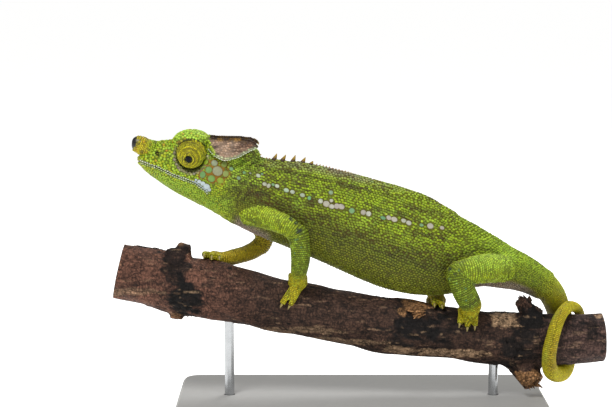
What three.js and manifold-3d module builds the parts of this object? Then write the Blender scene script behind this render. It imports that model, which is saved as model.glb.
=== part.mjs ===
// Still, life-size model of a male yellow-green chameleon (Calumma malthe) walking on a cut
// length of branch, which two rods carry above a flat base. Millimetres, +Z up, the head
// towards -X, the animal's left side towards -Y, the origin in the middle of the base's underside.

import * as THREE from 'three';
import { mergeVertices } from 'three/addons/utils/BufferGeometryUtils.js';
import Module from 'manifold-3d';

const wasm = await Module();
wasm.setup();

// ---------------------------------------------------------------- driving dimensions

const GAP = 0.3; // clearance between neighbouring pieces
const FINEST = 0.06; // smallest step kept where pieces are joined and cut
const SAME_POINT = 1e-4; // corners nearer than this are one corner

// Facets round each kind of piece, and steps along each loft.
const SIDES = { body: 18, coil: [9, 8], limb: 10, toe: 6, horn: 10, branch: 12, twig: 7, rod: 16, spine: 6 };
const STEPS = { head: 12, neck: 4, trunk: 15, pelvis: 5, tailBase: 4, coil: [15, 17], wholeBody: 26 };
const LIMB_STEPS = 4;
const WRIST_STEPS = 2;
const HORN_STEPS = 5;
const BRANCH_STEPS = 15;
const JOINT_RINGS = 5; // rings of the ball at an elbow or knee
const SOLE_RINGS = 4;

const KEEL = 0.42; // how far the back narrows to its ridge, as a share of its width

// Stations of the body from snout to vent and on to where the tail meets the branch:
// x, y, z of the middle, reach upwards, reach downwards, half width.
const BODY = [
  [-74.0, 0, 84.4, 0.9, 0.8, 1.1],
  [-72.4, 0, 84.4, 3.0, 2.4, 2.6],
  [-70.0, 0, 84.2, 5.6, 4.3, 3.8],
  [-66.7, 0, 83.9, 7.4, 6.2, 4.8],
  [-63.0, 0, 83.2, 8.5, 7.5, 5.5],
  [-59.4, 0, 82.4, 9.6, 8.8, 6.1],
  [-55.8, 0, 81.4, 10.6, 9.7, 6.7],
  [-52.1, 0, 80.3, 11.6, 10.2, 7.3],
  [-48.2, 0, 78.8, 11.6, 10.6, 7.4],
  [-43.9, 0, 76.8, 11.3, 10.9, 6.9],
  [-39.3, 0, 74.5, 12.6, 11.3, 6.7],
  [-34.7, 0, 72.0, 14.6, 11.2, 7.1],
  [-29.4, 0, 69.4, 16.2, 11.1, 7.6],
  [-22.5, 0, 67.0, 17.4, 11.4, 8.0],
  [-14.0, 0, 64.2, 18.3, 12.1, 8.4],
  [-5.0, 0, 61.0, 19.2, 12.8, 8.7],
  [4.0, 0, 57.6, 20.0, 13.4, 8.9],
  [13.0, 0, 54.4, 20.3, 13.6, 8.9],
  [21.5, 0, 52.4, 19.0, 13.0, 8.4],
  [29.5, 0, 51.5, 16.0, 11.6, 7.4],
  [36.0, 0, 51.2, 12.4, 9.7, 6.4],
  [41.5, 0, 50.4, 9.6, 8.2, 5.5],
  [46.5, 0.2, 49.0, 7.8, 7.3, 5.0],
  [52.2, 1.0, 47.1, 6.5, 6.4, 4.9],
  [57.9, 2.8, 44.2, 5.6, 5.6, 4.7],
  [63.2, 5.8, 40.0, 4.9, 4.8, 4.4],
];

// Where one length of the body ends and the next begins, as places in that table.
const HEAD_END = 8.6;
const NECK_END = 10.35;
const TRUNK_END = 19.4;
const PELVIS_END = 22.4;
const TAIL_BASE_END = 24.6;

// The tail's turns round the branch: degrees round it from the top towards the far side,
// place along x, and the tail's radius there.
const TAIL_COIL = [
  [52, 66.9, 4.1],
  [92, 68.9, 3.6],
  [135, 69.6, 3.1],
  [180, 67.0, 2.8],
  [215, 62.6, 2.6],
  [250, 61.1, 2.4],
  [285, 62.2, 2.25],
  [320, 64.8, 2.1],
  [355, 68.6, 1.95],
  [390, 72.6, 1.75],
  [430, 74.8, 1.5],
  [470, 76.2, 1.2],
  [505, 77.0, 0.8],
];
const COIL_CUT = 31; // place in the whole spine where the coil's two lengths part

// Mouth line of the left side, from in front of the snout to behind the jaw joint: x, z.
const MOUTH = [
  [-80.0, 84.9],
  [-73.3, 84.35],
  [-67.2, 82.6],
  [-60.9, 79.8],
  [-54.6, 77.7],
  [-50.4, 74.4],
  [-36.0, 68.0],
];

const HORN = [
  [-67.5, 0, 88.2, 3.2, 2.8, 2.6],
  [-70.5, 0, 88.9, 3.3, 2.7, 2.6],
  [-73.0, 0, 89.8, 3.3, 2.9, 2.6],
  [-75.0, 0, 90.1, 2.5, 2.4, 2.1],
  [-75.9, 0, 90.2, 1.2, 1.2, 1.1],
];

// Eye turret, measured from its centre along the gaze.
const TURRET_CENTRE = [-55.9, 4.7, 87.1];
const TURRET_RADIUS = 4.85;
const TURRET_BACK = 1.6; // depth of the flat back behind the centre
const TURRET_CONE_STARTS = 52; // degrees round the ball where the low cone leaves it
const TURRET_CONE = [ // distance from the axis, distance along the gaze
  [2.4, 5.0],
  [1.75, 5.55],
];
const TURRET_STEPS = 5;
const GAZE = [-0.12, 0.95, -0.26];
const EYEBALL_RADIUS = 2.0;
const EYEBALL_FRONT = 5.35;
const EYEBALL_FACETS = [10, 5];
const CUP_OPENS = 50; // degrees round the eyeball where the cup that holds it ends
const CUP_STEPS = 3;
const EYE_SIDES = 14;
const BROW_CENTRE = [-56.2, 3.2, 91.3];
const BROW_RADII = [5.9, 3.2, 3.4];
const BROW_RINGS = 4;
const NAPE_CENTRE = [-37.2, 0, 86.0]; // raised skin of the nape, under the flaps
const NAPE_RADII = [3.7, 3.6, 3.2];

// Flap behind the head: x, its lowest and highest place as degrees above the side.
const LOBE = [
  [-50.6, 30, 62],
  [-48.3, 14, 58],
  [-45.0, 4, 56],
  [-41.5, 8, 56],
  [-38.5, 17, 54],
  [-36.0, 26, 49],
  [-34.0, 31, 39],
];
const LOBE_MIDDLE = 84.4; // height of the middle of the arch that the two flaps form
const LOBE_REACH = [7.7, 9.7]; // half width and height of that arch
const LOBE_THICKNESS = 1.1;
const LOBE_STEPS = 7; // along the flap
const LOBE_COUNT = 4; // points across each face of the flap

// Crest spines of the nape: x, height above the back's own line.
const CREST = [
  [-29.0, 2.2],
  [-26.2, 2.3],
  [-22.9, 2.3],
  [-19.7, 2.0],
  [-16.9, 1.3],
];
const CREST_RADIUS = 0.95;
const CREST_SUNK = 1.2; // how much longer a spine is than it shows
const CREST_SHARE = 0.93; // where a spine's foot lies, as a share of the way up to the ridge
const CREST_LEAN = 0.25;

// Limbs of the left side and the right: x, distance from the middle plane, z, radius.
const FORELIMB_LEFT = [
  [-38.0, 3.0, 67.2, 3.5],
  [-31.4, 8.0, 66.4, 3.6],
  [-25.4, 11.0, 64.6, 3.4],
  [-20.9, 12.3, 61.6, 3.2],
  [-20.2, 12.3, 55.2, 3.2],
  [-20.7, 10.2, 49.4, 2.8],
  [-21.1, 7.4, 46.4, 2.4],
];
const FORELIMB_RIGHT = [
  [-37.5, 3.0, 67.5, 3.4],
  [-34.6, 8.4, 62.6, 3.4],
  [-32.4, 10.9, 58.2, 3.2],
  [-33.2, 11.4, 54.7, 3.0],
  [-37.3, 10.3, 52.5, 2.9],
  [-42.2, 8.3, 51.2, 2.7],
  [-46.2, 6.0, 51.0, 2.3],
];
const HINDLIMB_LEFT = [
  [47.5, 1.5, 49.0, 4.4],
  [41.5, 7.0, 49.6, 4.9],
  [35.6, 10.8, 49.7, 4.5],
  [30.8, 12.3, 48.6, 4.0],
  [32.8, 12.4, 43.0, 3.9],
  [35.2, 10.6, 38.6, 3.6],
  [35.6, 7.8, 36.6, 3.1],
];
const HINDLIMB_RIGHT = [
  [46.5, 1.5, 48.8, 4.2],
  [41.0, 7.0, 49.2, 4.4],
  [34.0, 11.0, 49.6, 4.0],
  [28.6, 12.6, 47.4, 3.7],
  [26.2, 12.3, 43.0, 3.4],
  [25.4, 10.2, 39.3, 3.1],
  [25.2, 7.4, 37.4, 2.8],
];
const KNEE = 3; // row of the elbow or knee
const ANKLE = 2.3; // place of the wrist or ankle, counted from there

// Grip of each hand and foot on the branch. Angles are degrees from the branch's top towards
// the animal's own side; the toes of each bundle spread along x about the bundle's middle.
const GRIPS = {
  hand_left: { x: -21.2, drift: -3.8, own: [2, 80], other: [3, 50] },
  hand_right: { x: -49.6, drift: -1.6, own: [2, 98], other: [3, 12] },
  foot_left: { x: 35.0, drift: -0.6, own: [3, 66], other: [2, 50] },
  foot_right: { x: 25.2, drift: -0.6, own: [3, 98], other: [2, 24] },
};
const SOLE_ANGLE = 28; // where the sole's middle sits, towards the animal's own side
const SOLE_HEIGHT = 1.7; // of the sole's middle over the bark
const SOLE_RADII = [3.4, 3.2, 2.4];
const TOE_HALF_WIDTH = 1.06;
const TOE_HALF_HEIGHT = 1.3;
const TOE_STEPS = 3;
const TOE_TAPER = [0.84, 0.92]; // height and width at the toe's end, as shares of those at its root
const TOE_ROOT = 7; // degrees from the sole's middle to where a toe starts inside it
const TOE_STAGGER = 2.3; // degrees that a toe falls short for each millimetre off the middle
const TOE_SPREAD = 0.15; // how far a bundle fans out, as a share of its width
const TOE_PITCH = 2.18;
const CLAW = [ // distance beyond the toe, height over the bark, radius
  [0.5, 0.8, 0.5],
  [2.1, 0.2, 0.12],
];

// Branch stations: x, y, z of the middle, reach up, reach down, half depth.
const BRANCH = [
  [-80.5, 0, 47.8, 9.2, 9.2, 9.0],
  [-70.0, 0, 45.5, 9.7, 9.7, 9.2],
  [-60.0, 0, 43.0, 9.9, 9.9, 9.3],
  [-48.0, 0, 41.0, 9.8, 9.8, 9.2],
  [-37.0, 0, 38.3, 9.2, 9.2, 9.0],
  [-20.5, 0, 35.0, 8.9, 8.9, 8.8],
  [-4.0, 0, 31.7, 8.9, 8.9, 8.8],
  [12.5, 0, 28.8, 9.6, 9.6, 9.1],
  [29.0, 0, 27.0, 8.6, 8.6, 8.7],
  [45.5, 0, 24.8, 9.0, 9.0, 8.8],
  [56.0, 0, 24.4, 9.3, 9.3, 9.0],
  [66.0, 0, 24.7, 8.6, 8.6, 8.5],
  [80.5, 0, 25.1, 8.1, 8.1, 8.1],
];
const BARK_LUMP = 0.022; // how far the bark swells and sinks, as a share of the radius
const BARK_WAVES = [ // swellings round the branch, radians that they turn in each millimetre along
  [3, 0.21],
  [5, -0.37],
];

// Knots and broken twigs: foot, tip, radius at foot and tip.
const TWIGS = [
  { foot: [-59.5, -1.0, 50.5], tip: [-58.6, -2.2, 56.9], radii: [3.4, 2.2] },
  { foot: [-63.0, -1.5, 50.5], tip: [-62.4, -2.4, 55.4], radii: [2.8, 1.9] },
  { foot: [-60.6, -2.0, 37.5], tip: [-61.4, -3.6, 32.0], radii: [2.9, 2.1] },
  { foot: [50.4, 2.0, 20.5], tip: [57.2, -4.6, 10.8], radii: [5.4, 3.7] },
  { foot: [58.0, -1.5, 32.5], tip: [51.6, -3.4, 38.2], radii: [3.3, 1.7] },
];
const TWIG_SHARES = [0, 0.5, 0.92, 1]; // rows along a twig, the last one drawn in
const TWIG_END = 0.6;

// Display stand.
const BASE_SIZE = [122, 62, 6];
const BASE_CORNER = 6;
const BASE_BEVEL = 0.8;
const ROD_X = [-44, 44];
const ROD_RADIUS = 1.6;
const ROD_FOOT = 3; // how deep a rod stands in the base
const ROD_HEAD = 6; // how far a rod reaches into the branch
const SOCKET_PAST = 5; // how far the tool that cuts a socket runs past the base's top
const CORNER_STEPS = 3;

// ---------------------------------------------------------------- colours

const PAINT = {
  skin: { color: 0x78a832, roughness: 0.55, metalness: 0 },
  throat: { color: 0x9ab83c, roughness: 0.55, metalness: 0 },
  limb: { color: 0xa4b830, roughness: 0.55, metalness: 0 },
  hand: { color: 0xc0b81e, roughness: 0.55, metalness: 0 },
  lobe: { color: 0x9a7468, roughness: 0.6, metalness: 0 },
  eye: { color: 0x14110c, roughness: 0.1, metalness: 0 },
  turret: { color: 0xa8a020, roughness: 0.5, metalness: 0 },
  horn: { color: 0xb09030, roughness: 0.5, metalness: 0 },
  bark: { color: 0x6b4a3c, roughness: 0.9, metalness: 0 },
  base: { color: 0xe6e4de, roughness: 0.4, metalness: 0 },
  steel: { color: 0xb8babd, roughness: 0.3, metalness: 1 },
};

// ---------------------------------------------------------------- curves through rows

const radians = THREE.MathUtils.degToRad;
const HEADING_REACH = 0.01; // half the stretch of rows over which a direction is measured

// The rows' values at a fractional row number, on a smooth curve through all of them.
function rowAt(rows, place) {
  const last = rows.length - 1;
  const first = Math.max(0, Math.min(Math.floor(place), last - 1));
  const t = place - first;
  const from = rows[first];
  const to = rows[first + 1];
  const before = rows[Math.max(first - 1, 0)];
  const after = rows[Math.min(first + 2, last)];
  return from.map((value, column) => {
    const leave = (to[column] - before[column]) / 2;
    const arrive = (after[column] - value) / 2;
    const rise = to[column] - value;
    return value + t * (leave + t * (3 * rise - 2 * leave - arrive + t * (leave + arrive - 2 * rise)));
  });
}

function pointAt(rows, place) {
  const [x, y, z] = rowAt(rows, place);
  return new THREE.Vector3(x, y, z);
}

// Direction of the curve, and how many millimetres one row's step covers.
function headingAt(rows, place) {
  const low = Math.max(place - HEADING_REACH, 0);
  const high = Math.min(place + HEADING_REACH, rows.length - 1);
  const step = pointAt(rows, high).sub(pointAt(rows, low));
  const speed = step.length() / (high - low);
  return { heading: step.normalize(), speed };
}

// The place one gap further along, where the next length starts.
function pastGap(rows, place) {
  return place + GAP / headingAt(rows, place).speed;
}

// ---------------------------------------------------------------- closed meshes and booleans

// A closed mesh over rings of equal count, each running anticlockwise about the way ahead.
function skinOver(rings) {
  const sides = rings[0].length;
  const vertices = rings.flat();
  const start = rings[0].reduce((sum, point) => sum.add(point), new THREE.Vector3());
  const end = rings.at(-1).reduce((sum, point) => sum.add(point), new THREE.Vector3());
  vertices.push(start.divideScalar(sides), end.divideScalar(sides));
  const startMiddle = vertices.length - 2;
  const endMiddle = vertices.length - 1;
  const faces = [];
  for (let ring = 0; ring < rings.length - 1; ring += 1) {
    for (let side = 0; side < sides; side += 1) {
      const next = (side + 1) % sides;
      const a = ring * sides + side;
      const b = ring * sides + next;
      faces.push(a, b, b + sides, a, b + sides, a + sides);
    }
  }
  const lastRing = (rings.length - 1) * sides;
  for (let side = 0; side < sides; side += 1) {
    const next = (side + 1) % sides;
    faces.push(startMiddle, next, side);
    faces.push(endMiddle, lastRing + side, lastRing + next);
  }
  const geometry = new THREE.BufferGeometry().setFromPoints(vertices);
  geometry.setIndex(faces);
  return geometry;
}

function toSolid(geometry) {
  const bare = new THREE.BufferGeometry();
  bare.setAttribute('position', geometry.getAttribute('position'));
  bare.setIndex(geometry.getIndex());
  const merged = mergeVertices(bare, SAME_POINT);
  return new wasm.Manifold(new wasm.Mesh({
    numProp: 3,
    vertProperties: new Float32Array(merged.getAttribute('position').array),
    triVerts: new Uint32Array(merged.getIndex().array),
  }));
}

// The facets of a solid, without the slivers thinner than FINEST that its cuts left.
function toGeometry(solid) {
  const { vertProperties, triVerts } = solid.simplify(FINEST).getMesh();
  const geometry = new THREE.BufferGeometry();
  geometry.setAttribute('position', new THREE.BufferAttribute(vertProperties, 3));
  geometry.setIndex(new THREE.BufferAttribute(triVerts, 1));
  return geometry;
}

function joined(solids) {
  return solids.reduce((whole, solid) => whole.add(solid));
}

function cutBy(solid, cutters) {
  return cutters.reduce((rest, cutter) => rest.subtract(cutter), solid);
}

// The main body of a cut piece, without the slivers that a cut leaves.
function largestOf(solid) {
  return solid.decompose().reduce((best, one) => (one.volume() > best.volume() ? one : best));
}

// ---------------------------------------------------------------- lofts

// One length of a loft through rows of x, y, z, reach up, reach down, half width.
// guide is the direction that the width follows, keel narrows the upper half to a ridge, and
// shape swells or shrinks the section at each x and angle.
function loft(rows, plan) {
  const { from = 0, to = rows.length - 1, steps, sides, grow = 0, keel = 0 } = plan;
  const { guide = [0, 1, 0], shape = () => 1 } = plan;
  const rings = [];
  for (let step = 0; step <= steps; step += 1) {
    const place = from + (to - from) * step / steps;
    const [x, y, z, up, down, half] = rowAt(rows, place);
    const { heading } = headingAt(rows, place);
    const across = new THREE.Vector3(...guide);
    across.addScaledVector(heading, -across.dot(heading)).normalize();
    const above = heading.clone().cross(across);
    const ring = [];
    for (let side = 0; side < sides; side += 1) {
      const angle = 2 * Math.PI * side / sides;
      const rise = Math.sin(angle);
      const swell = shape(x, angle);
      const narrow = 1 - keel * Math.max(rise, 0) ** 2;
      const width = (half + grow) * Math.cos(angle) * narrow * swell;
      const height = ((rise > 0 ? up : down) + grow) * rise * swell;
      const point = new THREE.Vector3(x, y, z);
      ring.push(point.addScaledVector(across, width).addScaledVector(above, height));
    }
    rings.push(ring);
  }
  return toSolid(skinOver(rings));
}

// Rows of x, distance from the middle plane, z, radius, as loft rows on one side of the body.
function limbRows(rows, hand) {
  return rows.map(([x, aside, z, radius]) => [x, hand * aside, z, radius, radius, radius]);
}

function ellipsoid(centre, radii, rings) {
  const geometry = new THREE.SphereGeometry(1, 2 * rings, rings);
  geometry.scale(...radii).translate(...centre);
  return toSolid(geometry);
}

// ---------------------------------------------------------------- branch

const BRANCH_CORRECTIONS = 8; // steps that find the place in the table for one x

// The bark's slow swellings, as the share by which they lengthen the radius.
function barkSwell(x, angle) {
  const waves = BARK_WAVES.map(([count, turn]) => Math.sin(count * angle + turn * x));
  return 1 + BARK_LUMP * waves.reduce((sum, wave) => sum + wave);
}

function branchLoft(grow) {
  return loft(BRANCH, { steps: BRANCH_STEPS, sides: SIDES.branch, grow, shape: barkSwell });
}

function twig({ foot, tip, radii }, grow = 0) {
  const start = new THREE.Vector3(...foot);
  const end = new THREE.Vector3(...tip);
  const rows = TWIG_SHARES.map((share) => {
    const point = start.clone().lerp(end, share);
    const radius = THREE.MathUtils.lerp(...radii, share) * (share === 1 ? TWIG_END : 1) + grow;
    return [point.x, point.y, point.z, radius, radius, radius];
  });
  return loft(rows, { steps: rows.length - 1, sides: SIDES.twig });
}

// Where the branch's middle lies at x, and how far its bark is at an angle from the top.
function branchAt(x, degrees) {
  const count = BRANCH.length - 1;
  let place = BRANCH.findIndex((row) => row[0] > x) - 0.5;
  for (let correction = 0; correction < BRANCH_CORRECTIONS; correction += 1) {
    const miss = x - rowAt(BRANCH, place)[0];
    place = THREE.MathUtils.clamp(place + miss / headingAt(BRANCH, place).speed, 0, count);
  }
  const [, , z, up, down, half] = rowAt(BRANCH, place);
  const angle = Math.PI / 2 - radians(degrees);
  const rise = (Math.sin(angle) > 0 ? up : down) * Math.sin(angle);
  return { z, radius: Math.hypot(half * Math.cos(angle), rise) * barkSwell(x, angle) };
}

// A point that stands off the branch's surface by height, at an angle from its top.
function onBranch(x, degrees, height) {
  const { z, radius } = branchAt(x, degrees);
  const reach = radius + height;
  return [x, reach * Math.sin(radians(degrees)), z + reach * Math.cos(radians(degrees))];
}

// ---------------------------------------------------------------- spine and tail

function coilRow([degrees, x, radius]) {
  return [...onBranch(x, degrees, radius + GAP), radius, radius, radius];
}

const SPINE = [...BODY, ...TAIL_COIL.map(coilRow)];
const ALONG_BRANCH = [1, 0, 0];

function bodyLength(from, to, steps, grow = 0) {
  return loft(SPINE, { from, to, steps, sides: SIDES.body, grow, keel: KEEL });
}

function coilLength(from, to, index) {
  return loft(SPINE, { from, to, steps: STEPS.coil[index], sides: SIDES.coil[index], guide: ALONG_BRANCH });
}

// ---------------------------------------------------------------- head

const MOUTH_BLOCK = { floor: 40, width: 40 };

// A block under the mouth line, wider than the head.
function mouthBlock(lift) {
  const outline = new THREE.Shape();
  outline.moveTo(MOUTH[0][0], MOUTH_BLOCK.floor);
  MOUTH.forEach(([x, z]) => outline.lineTo(x, z + lift));
  outline.lineTo(MOUTH.at(-1)[0], MOUTH_BLOCK.floor);
  const block = new THREE.ExtrudeGeometry(outline, { depth: MOUTH_BLOCK.width, bevelEnabled: false });
  block.rotateX(Math.PI / 2).translate(0, MOUTH_BLOCK.width / 2, 0);
  return toSolid(block);
}

function turretPlacing(hand) {
  const [x, aside, z] = TURRET_CENTRE;
  const gaze = new THREE.Vector3(GAZE[0], hand * GAZE[1], GAZE[2]).normalize();
  const turn = new THREE.Quaternion().setFromUnitVectors(new THREE.Vector3(0, 1, 0), gaze);
  return { position: new THREE.Vector3(x, hand * aside, z), turn };
}

// The eye turret: a flat back, a ball, a low cone and a cup for the eyeball.
function turretGeometry() {
  const backAngle = -Math.asin(TURRET_BACK / TURRET_RADIUS);
  const ball = arcPoints(TURRET_RADIUS, 0, [backAngle, radians(TURRET_CONE_STARTS)], TURRET_STEPS);
  const cone = TURRET_CONE.map(([x, y]) => new THREE.Vector2(x, y));
  const cupMiddle = EYEBALL_FRONT - EYEBALL_RADIUS;
  const cup = arcPoints(EYEBALL_RADIUS + GAP, cupMiddle, [radians(CUP_OPENS), -Math.PI / 2], CUP_STEPS);
  const back = new THREE.Vector2(0, -TURRET_BACK);
  return new THREE.LatheGeometry([back, ...ball, ...cone, ...cup], EYE_SIDES);
}

// Points of a half section's arc about the axis, set on the axis where the arc meets it.
function arcPoints(radius, middle, [from, to], steps) {
  return Array.from({ length: steps + 1 }, (unused, step) => {
    const angle = THREE.MathUtils.lerp(from, to, step / steps);
    const x = Math.abs(radius * Math.cos(angle)) < SAME_POINT ? 0 : radius * Math.cos(angle);
    return new THREE.Vector2(x, middle + radius * Math.sin(angle));
  });
}

function eyeballGeometry() {
  const ball = new THREE.SphereGeometry(EYEBALL_RADIUS, ...EYEBALL_FACETS);
  return ball.translate(0, EYEBALL_FRONT - EYEBALL_RADIUS, 0);
}

function turretSocket(hand) {
  const { position, turn } = turretPlacing(hand);
  const radius = TURRET_RADIUS + GAP;
  const back = new THREE.Vector2(0, -TURRET_BACK - GAP);
  const backAngle = -Math.asin((TURRET_BACK + GAP) / radius);
  const ball = arcPoints(radius, 0, [backAngle, Math.PI / 2], TURRET_STEPS + 1);
  const socket = new THREE.LatheGeometry([back, ...ball], EYE_SIDES);
  socket.applyQuaternion(turn).translate(position.x, position.y, position.z);
  return toSolid(socket);
}

function brow(hand) {
  const [x, aside, z] = BROW_CENTRE;
  return ellipsoid([x, hand * aside, z], BROW_RADII, BROW_RINGS);
}

function hornLoft(grow) {
  return loft(HORN, { steps: HORN_STEPS, sides: SIDES.horn, grow });
}

// The space that the horn's foot takes in the snout, with clearance behind it too.
function hornSocket() {
  const space = hornLoft(GAP);
  return space.add(space.translate([GAP, 0, 0]));
}

// One flap behind the head: a bent sheet between its lowest and highest angle at each x.
function lobe(hand, grow = 0) {
  const rings = [];
  const widen = THREE.MathUtils.radToDeg(grow / LOBE_REACH[0]);
  for (let step = 0; step <= LOBE_STEPS; step += 1) {
    const [along, low, high] = rowAt(LOBE, (LOBE.length - 1) * step / LOBE_STEPS);
    const x = along + grow * Math.sign(step - LOBE_STEPS / 2);
    const outward = [];
    const inward = [];
    for (let index = 0; index < LOBE_COUNT; index += 1) {
      const share = index / (LOBE_COUNT - 1);
      const angle = radians(THREE.MathUtils.lerp(low - widen, high + widen, share));
      const point = (reach) => new THREE.Vector3(
        x,
        hand * (LOBE_REACH[0] + reach) * Math.cos(angle),
        LOBE_MIDDLE + (LOBE_REACH[1] + reach) * Math.sin(angle),
      );
      outward.push(point(grow));
      inward.unshift(point(-LOBE_THICKNESS - grow));
    }
    const ring = [...outward, ...inward];
    rings.push(hand > 0 ? ring : ring.reverse());
  }
  return toSolid(skinOver(rings));
}

function headPieces() {
  const whole = bodyLength(0, HEAD_END, STEPS.head);
  const sockets = [turretSocket(-1), turretSocket(1)];
  const flaps = [lobe(-1, GAP), lobe(1, GAP)];
  const crown = joined([whole, brow(-1), brow(1)]);
  const head = cutBy(crown, [mouthBlock(GAP / 2), ...sockets, hornSocket(), ...flaps]);
  const jaw = whole.intersect(mouthBlock(-GAP / 2));
  return { head, jaw };
}

// ---------------------------------------------------------------- trunk

const RIDGE_FINEST = 0.001; // how closely a place in the table is found

// The place in the spine's table whose own section has its highest point over x.
function ridgePlace(x) {
  let low = 0;
  let high = BODY.length - 1;
  while (high - low > RIDGE_FINEST) {
    const middle = (low + high) / 2;
    if (ridgePoint(middle, 1).x < x) {
      low = middle;
    } else {
      high = middle;
    }
  }
  return low;
}

// A point over the spine at a share of the reach upwards.
function ridgePoint(place, share) {
  const up = rowAt(SPINE, place)[3] * share;
  const { heading } = headingAt(SPINE, place);
  const above = heading.clone().cross(new THREE.Vector3(0, 1, 0));
  return pointAt(SPINE, place).addScaledVector(above, up);
}

// A cone that leans back towards the tail, its foot sunk in the ridge.
function crestSpine([x, height]) {
  const foot = ridgePoint(ridgePlace(x), CREST_SHARE);
  const length = height + CREST_SUNK;
  const cone = new THREE.ConeGeometry(CREST_RADIUS, length, SIDES.spine);
  cone.translate(0, length / 2, 0).rotateX(Math.PI / 2).rotateY(CREST_LEAN);
  return toSolid(cone.translate(foot.x, 0, foot.z));
}

function trunkSolid() {
  const trunk = bodyLength(pastGap(SPINE, NECK_END), TRUNK_END, STEPS.trunk);
  return joined([trunk, ...CREST.map(crestSpine)]);
}

// ---------------------------------------------------------------- limbs

const wholeBody = bodyLength(0, BODY.length - 1, STEPS.wholeBody, GAP);
const branchCutter = joined([branchLoft(GAP), ...TWIGS.map((one) => twig(one, GAP))]);

// Shoulder to elbow or hip to knee, with the joint's round end.
function upperLimb(rows, hand, grow = 0) {
  const placed = limbRows(rows, hand).slice(0, KNEE + 1);
  const [x, y, z, radius] = placed.at(-1);
  const limb = loft(placed, { steps: LIMB_STEPS, sides: SIDES.limb, grow });
  const joint = ellipsoid([x, y, z], Array(3).fill(radius + grow), JOINT_RINGS);
  return limb.add(joint).subtract(wholeBody);
}

// Elbow to wrist or knee to ankle: it starts round the upper length's round end.
function lowerLimb(rows, hand, grow = 0) {
  const placed = limbRows(rows, hand).slice(KNEE);
  const limb = loft(placed, { to: ANKLE, steps: LIMB_STEPS, sides: SIDES.limb, grow });
  return cutBy(limb, [upperLimb(rows, hand, GAP), wholeBody]);
}

// A toe bent over the branch from one angle to another, with the claw that ends it.
function toe({ x, start, end, drift }) {
  const turn = Math.sign(end - start);
  const rows = [];
  const addRow = (along, angle, height, half, tall) => {
    rows.push([...onBranch(along, angle, height + GAP), tall, tall, half]);
  };
  for (let step = 0; step <= TOE_STEPS; step += 1) {
    const share = step / TOE_STEPS;
    const angle = THREE.MathUtils.lerp(start, end, share);
    const tall = TOE_HALF_HEIGHT * THREE.MathUtils.lerp(1, TOE_TAPER[0], share);
    const half = TOE_HALF_WIDTH * THREE.MathUtils.lerp(1, TOE_TAPER[1], share);
    addRow(x + drift * share, angle, tall, half, tall);
  }
  const degreesPerMillimetre = turn * THREE.MathUtils.radToDeg(1 / branchAt(x, end).radius);
  for (const [length, height, radius] of CLAW) {
    addRow(x + drift, end + degreesPerMillimetre * length, height, radius, radius);
  }
  return loft(rows, { steps: rows.length - 1, sides: SIDES.toe, guide: ALONG_BRANCH });
}

// One bundle of toes, side by side and overlapping as the real ones are fused.
function toeBundle({ x, drift, start, reach, turn, count }) {
  return Array.from({ length: count }, (unused, index) => {
    const aside = (index - (count - 1) / 2) * TOE_PITCH;
    return toe({
      x: x + aside,
      start: start + turn * TOE_ROOT,
      end: start + turn * (reach - Math.abs(aside) * TOE_STAGGER),
      drift: drift + aside * TOE_SPREAD,
    });
  });
}

// A hand or foot: the sole on the branch, joined to the limb's end, and its two bundles.
function gripSolid(name, rows, hand) {
  const { x, drift, own, other } = GRIPS[name];
  const sole = hand * SOLE_ANGLE;
  const soleMiddle = onBranch(x, sole, SOLE_HEIGHT);
  const soleRow = [...soleMiddle, ...Array(3).fill(SOLE_RADII[2])];
  const placed = [...limbRows(rows, hand).slice(KNEE), soleRow];
  const ankle = loft(placed, { from: pastGap(placed, ANKLE), steps: WRIST_STEPS, sides: SIDES.limb });
  const pad = ellipsoid(soleMiddle, SOLE_RADII, SOLE_RINGS);
  const ownReach = own[1] - SOLE_ANGLE;
  const otherReach = other[1] + SOLE_ANGLE;
  const toes = [
    ...toeBundle({ x, drift, start: sole, reach: ownReach, turn: hand, count: own[0] }),
    ...toeBundle({ x, drift: 0, start: sole, reach: otherReach, turn: -hand, count: other[0] }),
  ];
  const whole = joined([ankle, pad, ...toes]);
  return largestOf(cutBy(whole, [branchCutter, lowerLimb(rows, hand, GAP)]));
}

// ---------------------------------------------------------------- perch and stand

function rodCylinder(x, radius, low, high) {
  const rod = new THREE.CylinderGeometry(radius, radius, high - low, SIDES.rod);
  rod.rotateX(Math.PI / 2).translate(x, 0, (low + high) / 2);
  return rod;
}

function rodTop(x) {
  const { z, radius } = branchAt(x, 180);
  return z - radius + ROD_HEAD;
}

function rodSocket(x, low, high) {
  return toSolid(rodCylinder(x, ROD_RADIUS + GAP, low, high));
}

function perchSolid() {
  const sockets = ROD_X.map((x) => rodSocket(x, 0, rodTop(x) + GAP));
  const whole = joined([branchLoft(0), ...TWIGS.map((one) => twig(one))]);
  return cutBy(whole, sockets);
}

function baseSolid() {
  const [length, depth, height] = BASE_SIZE;
  const outline = new THREE.Shape();
  const halfLength = length / 2 - BASE_CORNER;
  const halfDepth = depth / 2 - BASE_CORNER;
  const inner = BASE_CORNER - BASE_BEVEL;
  outline.absarc(halfLength, halfDepth, inner, 0, Math.PI / 2);
  outline.absarc(-halfLength, halfDepth, inner, Math.PI / 2, Math.PI);
  outline.absarc(-halfLength, -halfDepth, inner, Math.PI, 1.5 * Math.PI);
  outline.absarc(halfLength, -halfDepth, inner, 1.5 * Math.PI, 2 * Math.PI);
  const plate = new THREE.ExtrudeGeometry(outline, {
    depth: height - 2 * BASE_BEVEL,
    bevelThickness: BASE_BEVEL,
    bevelSize: BASE_BEVEL,
    bevelSegments: 1,
    curveSegments: CORNER_STEPS,
  });
  plate.translate(0, 0, BASE_BEVEL);
  const sockets = ROD_X.map((x) => rodSocket(x, height - ROD_FOOT, height + SOCKET_PAST));
  return cutBy(toSolid(plate), sockets);
}

// ---------------------------------------------------------------- the whole object

const object = new THREE.Group();

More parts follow.
